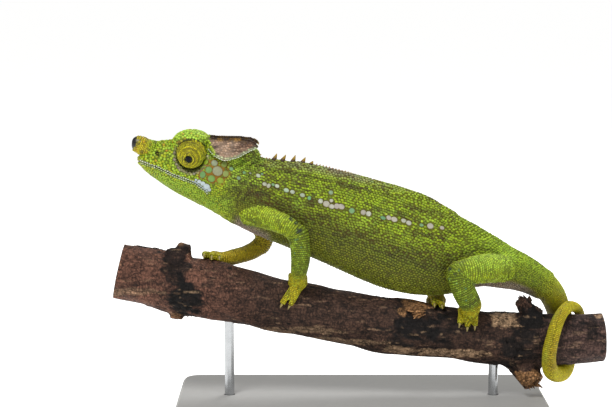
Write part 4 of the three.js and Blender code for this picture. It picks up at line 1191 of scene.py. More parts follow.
class Shader:
    """A material's nodes, added one by one; sizes in millimetres."""

    def __init__(self, name):
        self.made = bpy.data.materials.new(name)
        self.made.use_nodes = True
        self.nodes, self.links = self.made.node_tree.nodes, self.made.node_tree.links
        self.shader = self.nodes["Principled BSDF"]
        self.place = self.add("TexCoord").outputs["Object"]

    def add(self, kind, settings=None, **inputs):
        """A node with its settings, and its inputs linked to sockets or set to values."""
        node = self.nodes.new("ShaderNode" + kind)
        for key, value in (settings or {}).items():
            setattr(node, key, value)
        self.fill(node, **inputs)
        return node

    def fill(self, node, **inputs):
        for key, value in inputs.items():
            socket = node.inputs[int(key[1:]) if key[1:].isdigit() else key.replace("_", " ")]
            if isinstance(value, bpy.types.NodeSocket):
                self.links.new(value, socket)
            else:
                socket.default_value = value

    def noise(self, size, **inputs):
        return self.add("TexNoise", Vector=self.place, Scale=1 / (size * MM), **inputs)


def material(name, roughness, specular, colour=None, paint=False, speckle=(0, 1), bump=(0, 1),
             subsurface=0.0, metallic=0.0):
    """A shader with its colour from paint or one pigment, broken up by noise."""
    made = Shader(name)
    made.fill(made.shader, Roughness=roughness, Specular_IOR_Level=specular, Metallic=metallic)
    if subsurface:
        made.fill(made.shader, Subsurface_Weight=subsurface, Subsurface_Radius=(0.6 * MM, 0.4 * MM, 0.2 * MM))
    base = made.add("VertexColor", {"layer_name": "paint"}).outputs["Color"] if paint else (*colour, 1)
    if not paint:
        made.made.diffuse_color = base
    made.fill(made.shader, Base_Color=base)
    if speckle[0]:
        spread = made.add("MapRange", From_Min=0.3, From_Max=0.7, To_Min=1 - speckle[0],
                          To_Max=1 + speckle[0], Value=made.noise(speckle[1], Detail=3.0).outputs["Fac"])
        tint = made.add("HueSaturation", Value=spread.outputs["Result"], Color=base)
        made.fill(made.shader, Base_Color=tint.outputs["Color"])
    if bump[0]:
        lift = made.add("Bump", Strength=1.0, Distance=bump[0] * MM,
                        Height=made.noise(bump[1], Detail=4.0).outputs["Fac"])
        made.fill(made.shader, Normal=lift.outputs["Normal"])
    return made


def crack(made, block, width, reach):
    """Adds cracks as painted shade: dark bent lines between cells of a block's size, in patches reach apart.
    """
    bend = made.noise(2.0).outputs["Color"]
    shift = made.add("VectorMath", {"operation": "MULTIPLY_ADD"}, _0=bend, _1=(1.6 * MM,) * 3, _2=made.place)
    drawn_out = made.add("VectorMath", {"operation": "MULTIPLY"}, _0=shift.outputs["Vector"],
                         _1=tuple(1 / (size * MM) for size in block))
    cells = made.add("TexVoronoi", {"feature": "DISTANCE_TO_EDGE"}, Scale=1.0,
                     Vector=drawn_out.outputs["Vector"])
    line = made.add("MapRange", From_Max=width, Value=cells.outputs["Distance"])
    where = made.add("MapRange", From_Min=0.38, From_Max=0.56, To_Min=1.0, To_Max=0.0,
                     Value=made.noise(reach).outputs["Fac"])
    light = made.add("Math", {"operation": "MAXIMUM"}, _0=line.outputs["Result"], _1=where.outputs["Result"])
    shade = made.add("MapRange", To_Min=0.3, Value=light.outputs["Value"])
    painted = made.shader.inputs["Base Color"].links[0].from_socket
    tint = made.add("HueSaturation", Value=shade.outputs["Result"], Color=painted)
    made.fill(made.shader, Base_Color=tint.outputs["Color"])


SKIN_LOOK = material("skin", 0.55, 0.2, paint=True, speckle=(0.12, 0.6), bump=(0.05, 0.3), subsurface=0.05)
SCALE_LOOK = material("scales", 0.48, 0.28, paint=True, speckle=(0.10, 1.1))
HORN_LOOK = material("horn", 0.35, 0.5, paint=True, speckle=(0.12, 0.5), bump=(0.03, 0.3))
EYE_LOOK = material("eye", 0.22, 0.12, paint=True)
CLAW_LOOK = material("claw", 0.4, 0.4, colour=linear(142, 128, 72), speckle=(0.2, 0.5))
BARK_LOOK = material("bark", 0.75, 0.2, paint=True, speckle=(0.55, 0.75), bump=(0.35, 0.5))
crack(BARK_LOOK, (3.2, 1.0, 1.0), 0.20, 3.0)     # along the branch
crack(BARK_LOOK, (0.9, 2.4, 2.4), 0.15, 3.4)     # and round it
BASE_LOOK = material("base", 0.45, 0.4, colour=linear(172, 171, 168), speckle=(0.02, 3.0), bump=(0.01, 0.5))
ROD_LOOK = material("rod", 0.25, 0.5, colour=linear(176, 178, 180), metallic=1.0, speckle=(0.05, 2.0))

# ------------------------------------------------------------------ the skin

SKIN_SHOWS_SCALES = 0.22     # share of the scales' colour in that of the skin under them
skin_points, skin_quads = skin_field.mesh()
skin_colour, skin_gap_colour_and_shade = animal_colour(skin_points, Lie(skin_points), skin_field.normals(skin_points))
# the skin takes mostly the colour from between the scales, with its painted shade
skin = build("skin", skin_points, skin_quads, mix(skin_gap_colour_and_shade, skin_colour, SKIN_SHOWS_SCALES))
finish_piece(skin, SKIN_LOOK, FLESH)

# ------------------------------------------------------------------ scales

PLATE, LABIAL, RIM, GRAIN = range(4)     # kinds of scale
PLATE_SIDES, HEAD_SIDES, GRAIN_SIDES = 12, 8, 7
PLATE_MARGIN = 0.3             # mm from a plate's edge to the roots round it
CLEAR_OF_PLATE = 0.36          # of a scale's pitch, left free round a plate
CLEAR_OF_MOSAIC = 0.5          # and round those of the temple
MOSAIC_MIDDLE = (214, 170)
MOSAIC_REACH = 5.0             # mm before and behind the temple's middle
TEMPLE, TEMPLE_RADIUS = (213, 171), 4.6
LABIAL_PITCH, LABIAL_REACH = 0.8, 0.5
LABIAL_SIZE, LABIAL_HEIGHT = (0.36, 0.25), 0.26
RIM_PITCHES, RIM_REACH = (0.95, 0.8), 0.62               # lower edge, upper edge
RIM_SIZE, RIM_HEIGHT = (0.5, 0.4), 0.24
PLATE_HEIGHT, CORNER_HEIGHT = 0.3, 0.14
MOUTH_CORNER = [0.78, 0.86, 1.08]                        # tint of the plates there
RINGED_SHAPE, TRUNK_SHAPE = [0.86, 1.08], [1.1, 0.93]    # lengthwise and crosswise share of a scale's size
TURRET_SHAPE = [0.37, 0.56]                              # of a turret scale's pitch
TRUNK_START, TAIL_START = 10.3, 21.0                     # places along the body where pieces part
SEEN_FROM = 16.0                                         # mm from the middle plane
rng = np.random.default_rng(7)


def on_side(places, hand):
    """The skin's outermost points at those x and z, seen from one side."""
    places = np.asarray(places, float)
    depths = np.arange(SEEN_FROM, 0.0, -0.25)
    rays = np.stack([np.repeat(places[:, 0], len(depths)), np.tile(hand * depths, len(places)),
                     np.repeat(places[:, 1], len(depths))], -1)
    inside = (skin_field.at(rays) < 0).reshape(len(places), -1)
    points = np.stack([places[:, 0], hand * depths[np.argmax(inside, axis=1)], places[:, 1]], -1)
    return skin_field.onto(points)[inside.any(axis=1)], inside.any(axis=1)


def plates():
    """Middles, radii and pigments of the large scales of both flanks and temples."""
    columns = [], [], []
    for marks, aside in ((LATERAL_PLATES, FLANK_ASIDE), (TEMPORAL_PLATES, CHEEK_ASIDE)):
        pixels, radii, pigments = zip(*marks)
        for hand in SIDE.values():
            found, shows = on_side([seen(pixel, aside) for pixel in pixels], hand)
            for column, rows in zip(columns, (found, np.array(radii)[shows], np.array(pigments)[shows])):
                column.append(rows)
    return [np.concatenate(column) for column in columns]


def evenly(line, pitch):
    """Points each a pitch apart along a line of points."""
    line = np.array(line, float)
    length = path_length(line)
    marks = np.arange(pitch / 2, length[-1], pitch)
    return np.stack([np.interp(marks, length, line[:, k]) for k in range(line.shape[1])], -1)


def labials():
    """The rows of scales that edge both lips."""
    points = []
    for lift in (0.5, -0.5):
        line = MOUTH[1:] + [0, lift]
        line[0, 0] += 0.3
        points += [on_side(evenly(line, LABIAL_PITCH), hand)[0] for hand in SIDE.values()]
    return np.concatenate(points)


def lobe_rims():
    """Scales on the lower and upper edges of the flaps behind the head."""
    points = []
    inset = LOBE_THICKNESS / 2
    for hand in SIDE.values():
        for column, way, rim_pitch in ((1, 1, RIM_PITCHES[0]), (2, -1, RIM_PITCHES[1])):
            line = []
            for place in np.linspace(0, len(LOBE) - 1, 40):
                row = rows_at(LOBE, place)[0]
                angle = math.radians(row[column] + 2.5 * way)
                line.append((row[0], hand * (LOBE_REACH[0] - inset) * math.cos(angle),
                             LOBE_MIDDLE + (LOBE_REACH[1] - inset) * math.sin(angle)))
            points.append(skin_field.onto(evenly(line, rim_pitch) - [0, 0, 0.5 * way]))
    points = np.concatenate(points)
    return points[np.abs(skin_field.at(points)) < 0.1]


# Where the scales stand: single marks first, then even rows, and the skin's own points in the gaps.
plate_points, plate_radii, plate_pigments = plates()
groups = [plate_points, labials(), lobe_rims()]
lattice = first_candidates()
landed = skin_field.onto(lattice)
near_by = (lengths(landed - lattice) < 1.2) & (np.abs(skin_field.at(landed)) < 0.1)
groups.append(np.concatenate([landed[near_by], skin_points[rng.permutation(len(skin_points))]]))
roots, kinds = np.concatenate(groups), np.repeat(range(4), [len(group) for group in groups])
pitch = scale_pitch(roots, Lie(roots))
reach = 0.8 * pitch
mosaic = np.abs(plate_points[:, 0] - seen(MOSAIC_MIDDLE, CHEEK_ASIDE)[0]) < MOSAIC_REACH
clear = np.where(mosaic, CLEAR_OF_MOSAIC, CLEAR_OF_PLATE)
reach[kinds == PLATE] = plate_radii + clear * pitch[kinds == PLATE]
reach[kinds == LABIAL] = LABIAL_REACH
reach[kinds == RIM] = RIM_REACH
kept = thin_out(roots, reach)
roots, kinds = roots[kept], kinds[kept]
grain = kinds == GRAIN
settled = settle(roots[grain], pitch[kept][grain], 2, 0.2)
for middle, radius in zip(plate_points, plate_radii + PLATE_MARGIN):
    offset = settled - middle
    distance = lengths(offset)
    crowd = np.nonzero(distance < radius)[0]
    settled[crowd] += offset[crowd] / distance[crowd][:, None] * (radius - distance[crowd])[:, None]
roots[grain] = skin_field.onto(settled, turns=2)
lie = Lie(roots)
pitch = scale_pitch(roots, lie)
normals = skin_field.normals(roots, 0.4)
colour, between = animal_colour(roots, lie, normals)

# Their headings, sizes and heights.
count = len(roots)
heading = lie.heading.copy()
on_turret = grain & is_turret(roots, lie)
for hand in SIDE.values():
    outward = about_gaze(roots, *gaze_frame(hand))[0] + 1e-6
    rows_there = on_turret & (roots[:, 1] * hand > 0)
    heading[rows_there] = outward[rows_there] / lengths(outward[rows_there])[:, None]
size = np.stack([rng.normal(1.04, 0.05, count), rng.normal(0.97, 0.05, count)], -1)
size *= SCALE_HALF * pitch[:, None]
ringed = lie.limb | (lie.place > TAIL_BASE_END)
trunk = ~ringed & (roots[:, 0] > HEAD_END)
size *= np.where(ringed[:, None], RINGED_SHAPE, np.where(trunk[:, None], TRUNK_SHAPE, [1.0, 1.0]))
size[on_turret] = TURRET_SCALES * np.array(TURRET_SHAPE)
lobe_share = on_lobe(roots)[0] * lie.body
head_share = ramp(roots[:, 0], -42, -47) * lie.body
height = pitch * (0.30 - 0.06 * head_share - 0.24 * lobe_share * grain)
height *= np.where(lie.limb, 0.85, 1.0) * rng.normal(1.0, 0.08, count)
height = np.where((np.sin(lie.turn) < -0.6) & lie.body, 0.8 * height, height)

# Their colours: each a little off its neighbours', with some of another pigment among them.
jaw_share = head_share * ramp(above_mouth(roots), -0.5, -2.0)
bright = rng.normal(1.0, 0.15 - 0.08 * jaw_share, count)
warm = rng.normal(0.0, 0.05, count)
draw = rng.random(count)
by_temple = side_distance(roots, TEMPLE, CHEEK_ASIDE) < TEMPLE_RADIUS
plain = grain & (head_share > 0.5) & (turret_reach(roots)[0] > 6.0) & (lobe_share < 0.3) & ~by_temple
inner = lie.limb & (outward_tilt(roots, normals) < -0.1)
outer = lie.limb & ~inner
colour = washes(
    colour * (bright[:, None] + warm[:, None] * [1.0, 0.2, -1.0]),
    (GRASS * 0.9, 0.7 * by_temple * grain),
    (LIME, 0.45 * plain * (draw < 0.28) * ramp(roots[:, 2], 76, 80)),
    (EMBER, 0.5 * plain * (draw > 0.93) * ramp(roots[:, 0], -50, -58) * ramp(roots[:, 2], 83, 85)),
    (STRAW, 0.32 * plain * (draw > 0.6) * (draw < 0.8)),
    (UMBER, 0.45 * ~plain * grain * (draw > 0.86) * lie.body * (lie.place <= 24)),
    (MOSS * 0.6, 0.55 * outer * grain * (draw > 0.78)),
    (LIME, 0.35 * outer * (draw < 0.15)))
# more painted shade on the skin between the small scales, except on the plain head
between = between * (1 - 0.55 * (grain & ~plain))[:, None]
between = mix(between, colour * 0.6, 0.8 * inner)

# The plates of flank and temple, and the flat ones at the mouth's corner.
row = kinds == PLATE
x, number_there = roots[row, 0], row.sum()
mine = nearest(tree_of(plate_points), roots[row])
on_temple = mosaic[mine] & ~np.all(plate_pigments[mine] == PEARL, axis=1)
at_mouth = (x < -49) & ~on_temple
size[row] = plate_radii[mine][:, None] * np.where(on_temple[:, None], [1.0, 1.08], [1.0, 0.86])
size[row] *= rng.normal(1.0, 0.09, (number_there, 2))
size[row] *= np.where(at_mouth, 1.2, 1.0)[:, None]
height[row] = np.where(at_mouth, CORNER_HEIGHT, PLATE_HEIGHT)
plate_colour = washes(
    plate_pigments[mine] * (rng.normal(0.92, 0.08, number_there) - 0.2 * on_temple)[:, None],
    (GRASS, np.where(on_temple, 0.45, 0.2) * rng.random(number_there) + 0.2 * on_temple),
    (TURQUOISE, 0.5 * rng.random(number_there) * (x < -14) * ~on_temple),
    (LILAC, 0.55 * np.random.default_rng(29).random(number_there) * (x > -49)))
colour[row] = np.where(at_mouth[:, None], plate_pigments[mine] * MOUTH_CORNER, plate_colour)
between[row] = mix(EMBER * 0.5, RUST, rng.random(number_there))

# The rows that edge the lips, larger towards the corner above, and those that edge the flaps.
row = kinds == LABIAL
upper_lip = above_mouth(roots[row]) > 0
corner = ramp(roots[row, 0], -57.5, -55.0) * upper_lip
size[row] = np.array(LABIAL_SIZE) * (1 + np.stack([0.4 * corner, 1.9 * corner], -1))
height[row] = LABIAL_HEIGHT
colour[row] = washes(
    PEARL * 1.45,
    (LEAF, (0.55 - 0.35 * upper_lip) * rng.random(row.sum()) * (1 - corner) + 0.35 * ~upper_lip),
    (PEARL * MOUTH_CORNER, corner))
between[row] = UMBER * 0.4
row = kinds == RIM
size[row], height[row] = RIM_SIZE, RIM_HEIGHT
row = row & (roots[:, 2] < LOBE_MIDDLE + 0.62 * LOBE_REACH[1])
# painted light: the lower edge's scales face down into shade and are painted far brighter than pearl
colour[row] = mix(PEARL * 2.1, LEAF, 0.35 * rng.random(row.sum()))

STRETCHES = ["head_left", "head_right", "trunk_left", "trunk_right", "tail", *LIMBS]
right = (roots[:, 1] > 0).astype(int)
stretch = np.select([lie.limb, lie.place < TRUNK_START, lie.place < TAIL_START],
                    [lie.owner + 4, right, 2 + right], 4)


def unwrap(number):
    """Each root's place on a flat sheet of one stretch: along it, and round it."""
    around = (lie.turn + math.pi) / (2 * math.pi)
    name, here = STRETCHES[number], stretch == number
    if name in LIMBS:
        along = lie.along / max(line["length"][-1] for line in AXES[name])
        strips = 0.58 + 0.42 * (lie.axis + around - 1) / lie.axis.max()
        around = np.where(lie.axis == 0, 0.56 * around, strips)
    else:
        along = (lie.along - lie.along[here].min()) / np.ptp(lie.along[here])
    return np.clip(np.stack([0.01 + 0.98 * along, 0.01 + 0.98 * around], -1), 0.002, 0.998)


def domes(sides, rings, roots, normals, heading, size, height, spin, colour, between, sheet):
    """Points, faces, colours and sheet places of a dome for each root."""
    flat, rise, faces = scale_template(sides, rings)
    cos, sin = np.cos(spin)[:, None], np.sin(spin)[:, None]
    along = flat[None, :, 0] * cos - flat[None, :, 1] * sin
    across = flat[None, :, 0] * sin + flat[None, :, 1] * cos
    ahead = heading - normals * np.sum(heading * normals, 1)[:, None]
    ahead /= np.maximum(lengths(ahead), 1e-6)[:, None]
    aside = np.cross(normals, ahead)
    lift = rise[None] * height[:, None] - SCALE_SUNK * (rise[None] == 0)
    points = (roots[:, None] + ahead[:, None] * (along * size[:, :1])[..., None]
              + aside[:, None] * (across * size[:, 1:])[..., None] + normals[:, None] * lift[..., None])
    # each dome's foot takes the darker colour of the skin between the scales, with its painted shade
    tone = np.interp(rise, [0, 0.5, 1], [0.0, 0.85, 1.0])[None, :, None]
    tint = between[:, None] * (1 - tone) + colour[:, None] * tone
    faces = faces[None] + (np.arange(len(roots)) * len(rise))[:, None, None]
    sheet = sheet[:, None] + np.stack([along, across], -1) * PATCH
    return points.reshape(-1, 3), faces.reshape(-1, 3), tint.reshape(-1, 3), sheet.reshape(-1, 2)


spin = rng.random(count) * 2 * math.pi
spin[(kinds == LABIAL) | on_turret] = 0.0
for number, name in enumerate(STRETCHES):
    columns = roots, normals, heading, size, height, spin, colour, between, unwrap(number)
    small = (HEAD_SIDES, HEAD_RINGS) if name.startswith("head") else (GRAIN_SIDES, GRAIN_RINGS)
    parts = [domes(*plan, *(column[take] for column in columns))
             for take, plan in (((stretch == number) & (kinds == PLATE), (PLATE_SIDES, PLATE_RINGS)),
                                ((stretch == number) & (kinds != PLATE), small)) if take.any()]
    points, faces = joined([part[:2] for part in parts])
    tint, sheet = (np.concatenate([part[k] for part in parts]) for k in (2, 3))
    finish_piece(build("scales_" + name, points, faces, tint, sheet), SCALE_LOOK)

# ------------------------------------------------------------------ eyes

def eyeball(hand):
    """A ball whose front is painted with the dark pupil, its glint of blue and the ring round it."""
    centre, axes = gaze_frame(hand)
    middle = centre + (EYEBALL_FRONT - EYEBALL_RADIUS) * axes[2]
    points, triangles, quads = ellipsoid(middle, [EYEBALL_RADIUS] * 3, axes, rings=40)
    reach = lengths(about_gaze(points, middle, axes)[0])
    colour = washes(
        INK * 0.25, (SLATE, 0.35 * bell(reach - 0.8, 0.12)), (OLIVE, 0.7 * ramp(reach, 1.08, 1.16)),
        (INK, ramp(reach, 1.2, 1.4)))
    name = "eyeball_left" if hand < 0 else "eyeball_right"
    finish_piece(build(name + "_glass", points, [triangles, quads], colour), EYE_LOOK, [name])


for eye_hand in SIDE.values():
    eyeball(eye_hand)

# ------------------------------------------------------------------ horn, crest and claws

HORN_PITCH = 0.74
HORN_SCALE_HEIGHT = 0.24
HORN_YELLOW = linear(172, 160, 26)
HORN_TIP = (-73.4, -74.3)      # x between which the horn's upper side turns smooth and dark
CONE_RINGS = 5
NAPE_RADIUS, BELLY_RADIUS = 0.42, 0.4      # of the small pointed scales
CREST_GRAIN_PITCH = 1.05
BELLY_GRAIN_PITCH = 1.0
CLAW_RADIUS, CLAW_REACH, CLAW_DROP = 0.42, 1.35, 0.5


def horn_colour(points, flecks):
    """The horn's colour, and the share of its bare dark tip."""
    x, z = points[:, 0], points[:, 2]
    cap = np.clip(ramp(x, *HORN_TIP) * ramp(z - 0.8 * (x + 74.5), 88.6, 89.4) + ramp(x, -75.1, -75.7), 0, 1)
    return washes(
        LEAF, (HORN_YELLOW, ramp(x, -68.6, -71.6)), (OCHRE, 0.6 * (flecks > 0.75) * ramp(x, -68.0, -70.0)),
        (UMBER, 0.55 * (flecks < 0.10)), (INK * 1.5, cap)), cap


def horn_piece():
    """The horn on the snout: a smooth tube under small scales, bare and dark at its tip."""
    field = block_field(HORN[:, :3].min(0) - 7, HORN[:, :3].max(0) + 7)
    field.add(loft(HORN, 0, len(HORN) - 1, 60, 64), TIGHT)
    field.values += COAT_DEPTH
    points, quads = field.mesh()
    base, cap = horn_colour(points, np.full(len(points), 0.5))
    # painted shade: the skin under the horn's scales is darkened, except at the bare tip
    horn = build("horn", points, quads, mix(base * 0.35, base, cap))
    finish_piece(horn, HORN_LOOK, ["rostral_horn"])
    draw = np.random.default_rng(19)
    roots = field.onto(rings_on(HORN, 0.05, len(HORN) - 1.1, lambda place: HORN_PITCH))
    roots = roots[skin_field.at(roots) > -0.3]
    top, cap = horn_colour(roots, draw.random(len(roots)))
    keep = draw.random(len(roots)) > cap
    roots, top = roots[keep], top[keep]
    count = len(roots)
    turn = np.arctan2(roots[:, 2] - np.interp(-roots[:, 0], -HORN[:, 0], HORN[:, 2]), roots[:, 1])
    size = SCALE_HALF * HORN_PITCH * draw.normal(1.0, 0.07, (count, 2))
    tint = top * draw.normal(1.0, 0.12, (count, 1))
    height = HORN_SCALE_HEIGHT * draw.normal(1, 0.1, count)
    sheet = np.clip(np.stack([(roots[:, 0] + 77) / 12, 0.5 + turn / 7], -1), 0.01, 0.99)
    heading, spin = np.tile([-1.0, 0, 0], (count, 1)), draw.random(count) * 6
    # the scales' feet take a dark copy of their colour, painted shade between them
    scales = domes(HEAD_SIDES, HEAD_RINGS, roots, field.normals(roots), heading, size, height, spin, tint,
                   top * 0.3, sheet)
    finish_piece(build("scales_horn", *scales), SCALE_LOOK)


def cone(foot, tip, radius, sides, end=0.12, bend=(0, 0, 0), flat=1.0, guide=(0, 1, 0)):
    """Mesh of a pointed cone, bent sideways and flattened if asked."""
    rows = []
    for share in np.linspace(0, 1, CONE_RINGS + 1):
        middle = np.array(foot) + (np.array(tip) - foot) * share + np.array(bend) * share * (1 - share)
        reach = radius + (end - radius) * share ** 1.2
        rows.append([*middle, reach, reach, reach * flat])
    return loft(np.array(rows), 0, CONE_RINGS, *sides, guide=guide)


def crest():
    """The row of spines on the nape and the small pointed scales behind it, and under the belly."""
    parts, tints = [], []
    draw = np.random.default_rng(17)
    marks = [(x, height, CREST_RADIUS) for x, height in CREST]
    marks += [(x, draw.uniform(0.4, 0.65), NAPE_RADIUS) for x in np.arange(-33.5, -30.0, 1.0)]
    marks += [(x, max(0.25, 0.8 - 0.035 * (x + 15.5)) * draw.uniform(0.8, 1.15), NAPE_RADIUS)
              for x in np.arange(-15.2, 34.0, CREST_GRAIN_PITCH)]
    under = [(x, 0.4 * draw.uniform(0.8, 1.2), BELLY_RADIUS)
             for x in np.arange(-31.0, 10.0, BELLY_GRAIN_PITCH)]
    for edge, rows, foot, top in (
            (BODY[:, 2] + BODY[:, 3], marks, RUST, (LILAC + OCHRE) / 2),
            (BODY[:, 2] - BODY[:, 4], under, LILAC, PEARL * 0.8)):
        for x, height, radius in rows:
            root = skin_field.onto(np.array([[x, 0.0, np.interp(x, BODY[:, 0], edge)]]))[0]
            normal = skin_field.normals(root[None])[0]
            lean = np.array([normal[0] + 0.45, 0, normal[2]])
            tip = root + height * lean / np.linalg.norm(lean)
            parts.append(cone(root - 0.35 * normal, tip, radius, (10, 10), end=0.1))
            share = np.clip((parts[-1][0] - root) @ normal / height, 0, 1)
            big = height > 1.0
            low, high = (UMBER, 0.5 * OCHRE + 0.35 * MOSS) if big else (foot, top)
            tints.append(mix(low, high, ramp(share, 0.05, 0.6)))
    finish_piece(build("crest", *joined(parts), np.concatenate(tints)), SCALE_LOOK)


def claws():
    parts = []
    for name in LIMBS:
        for toe, _ in toe_rows(name):
            last = toe[-1]
            heading = headings(toe, np.array([len(toe) - 1.0]))[0][0]
            out = last[:3] - [last[0], 0, branch_at(last[0], 0)[0]]
            out /= np.linalg.norm(out)
            parts.append(cone(last[:3] + 0.1 * heading + 0.2 * out,
                              last[:3] + CLAW_REACH * heading - CLAW_DROP * out,
                              CLAW_RADIUS, (10, 12), bend=out, guide=(1, 0, 0)))
    finish_piece(build("claws", *joined(parts)), CLAW_LOOK)


horn_piece()
crest()
claws()

# ------------------------------------------------------------------ branch

BARK_GRID_START = np.array([-212, -40, 8])
BARK_GRID_END = np.array([208, 40, 156])
ROSEWOOD = linear(104, 70, 56)
BROWN_BARK = linear(70, 50, 40)
MAUVE_BARK = linear(78, 58, 52)
CHAR = linear(22, 18, 17)
BARE_WOOD = linear(176, 144, 112)
FIBRE = linear(150, 110, 72)
SAWN_WOOD = linear(196, 164, 122)
ROUGH_ZONES = [   # the photo's pixels: middle, half length and half height, strength
    ((176, 262), 13, 22, 0.9), ((184, 300), 16, 22, 1.0), ((172, 290), 12, 14, 0.5), ((186, 250), 9, 7, 0.9),
    ((176, 312), 10, 6, 0.6), ((210, 284), 4, 5, 0.6), ((268, 287), 3, 5, 0.6), ((122, 290), 8, 6, 0.35),
    ((418, 325), 26, 24, 1.0), ((452, 322), 20, 12, 0.8), ((398, 345), 14, 9, 0.8), ((440, 345), 16, 9, 0.6),
    ((520, 345), 22, 18, 0.9), ((532, 318), 18, 13, 1.0), ((505, 368), 14, 10, 0.8), ((592, 328), 6, 14, 0.7),
]
BARE_ZONES = [
    ((505, 321), 14, 7, 1.0), ((452, 355), 34, 5, 0.8), ((400, 352), 16, 4, 0.5), ((605, 318), 9, 4, 0.8),
    ((300, 332), 60, 4, 0.35), ((100, 292), 60, 4, 0.3), ((350, 343), 40, 3, 0.4),
]
SCAR_ZONES = [
    ((418, 306), 12, 8, 1.0), ((404, 311), 4, 4, 0.8), ((181, 244), 5, 3, 0.4), ((176, 319), 7, 3, 0.35),
    ((532, 383), 16, 10, 1.0), ((526, 297), 12, 3, 0.6),
]
BARK_ASIDE = 8.0
ZONE_SOFT = 0.16     # share of a zone over which its edge fades
FAR_SHIFT = 9.0      # mm by which the far side's zones lie nearer to the head
RING_WIDTH = 1.1     # mm between the growth rings
GRIP_CLEAR = (3.5, 7.0)      # mm from a sole between which the bark grows rough


def bark_field():
    field = Field(BARK_GRID_START, BARK_GRID_END)
    field.add(loft(BRANCH, 0, len(BRANCH) - 1, 300, 96, swell=bark_swell), TIGHT)
    for foot, tip, near, far in TWIGS:
        share = np.array([[0], [0.5], [1]])
        radii = (near + (far - near) * share).repeat(3, axis=1)
        rows = np.hstack([foot + (np.array(tip) - foot) * share, radii])
        field.add(loft(rows, 0, 2, 20, 32), TWIG_SOFT)
    return field


def zones(points, marks):
    """Share to which points of the bark lie in marks seen from the front; the far side has its own."""
    share = np.zeros(len(points))
    wobble = 1.4 * layered_noise(points, 5.0, seed=61)
    ragged = 0.8 * layered_noise(points, (3.0, 1.6, 1.6), seed=62)
    place = points[:, [0, 2]] + wobble[:, None]
    shift = np.outer(points[:, 1] > 0, (FAR_SHIFT, 0.0))
    for pixel, length, height, strength in marks:
        offset = (place - seen(pixel, BARK_ASIDE) + shift) / (length * PIXEL, height * PIXEL)
        share = np.maximum(share, strength * ramp(lengths(offset) + ragged, 1 + ZONE_SOFT, 1 - ZONE_SOFT))
    return share


def bark_look(points, normals):
    """How far the bark stands out at each point, and its colour; both ends are sawn wood."""
    x = points[:, 0]
    rough, bare, scar = (zones(points, marks) for marks in (ROUGH_ZONES, BARE_ZONES, SCAR_ZONES))
    rough = rough * (1 - 0.85 * bare) * (1 - 0.7 * scar)
    grain = layered_noise(points, (7.0, 0.9, 0.9), seed=63)
    broad = layered_noise(points, (14.0, 5.0, 5.0), seed=65)
    lumps = layered_noise(points, (3.4, 2.2, 2.2), seed=67)
    cracks = bell(layered_noise(points, (3.8, 1.7, 1.7), seed=69, layers=2), 0.07)
    across = bell(layered_noise(points, (1.3, 4.5, 4.5), seed=71, layers=2), 0.05)
    pits = ramp(value_noise(points, (2.4, 1.3, 1.3), seed=73), 0.62, 0.85)
    knobs = ramp(value_noise(points, (4.6, 3.4, 3.4), seed=75), 0.55, 0.9)
    out = 0.10 * grain + 0.22 * broad + 0.16 * knobs
    out += rough * (0.75 * lumps - 0.5 * cracks - 0.35 * across + 0.1)
    out -= (1 - rough) * (1 - bare) * (0.22 * pits + 0.10 * cracks * ramp(x, -60, -20))
    out += -0.35 * bare + scar * 0.35 * np.abs(grain)

    base = washes(ROSEWOOD, (BROWN_BARK, ramp(x, -62, -25)), (MAUVE_BARK, ramp(x, 50, 66)))
    # painted shade: pits and cracks, sunk into the bark, are darkened
    marks = np.clip(0.85 * pits + 0.5 * cracks * ramp(x, -70, -20) + 0.35 * across, 0, 1)
    pale = ramp(layered_noise(points, (2.6, 1.0, 1.0), seed=77), 0.3, 0.55)
    stain = ramp(layered_noise(points, (1.5, 1.2, 1.2), seed=79), 0.2, 0.5)
    fibres = FIBRE * (1 + 0.8 * layered_noise(points, (2.5, 0.6, 0.6), seed=81))[:, None]
    colour = washes(
        base * (1 + 0.45 * grain + 0.35 * broad)[:, None],
        (BARE_WOOD, 0.35 * ramp(grain, 0.3, 0.6)),
        (CHAR, (1 - rough) * marks),
        # rough zones: their own dark colour, lighter on the raised lumps, with painted shade in the hollows
        # between
        (washes(CHAR, (BROWN_BARK, 0.8 * ramp(lumps, 0.1, 0.6)), (BARE_WOOD, 0.5 * pale)), rough),
        (mix(BARE_WOOD * (1 + 0.5 * grain)[:, None], UMBER, stain), bare),
        (fibres, scar))

    sawn = ramp(np.abs(normals[:, 0]), 0.8, 0.92) * (np.abs(x) > BRANCH[-1, 0] - 2.8)
    y, z, radius = (np.interp(x, BRANCH[:, 0], BRANCH[:, column]) for column in (1, 2, 3))
    depth = np.hypot(points[:, 1] - y, points[:, 2] - z)
    rings = SAWN_WOOD * (1 + 0.22 * np.sin(2 * math.pi * depth / RING_WIDTH + 1.2 * lumps))[:, None]
    rings = mix(rings, BROWN_BARK, ramp(depth, radius - 1.3, radius - 0.9))
    return out * (1 - 0.8 * sawn), np.clip(mix(colour, rings, sawn), 0.002, 1)


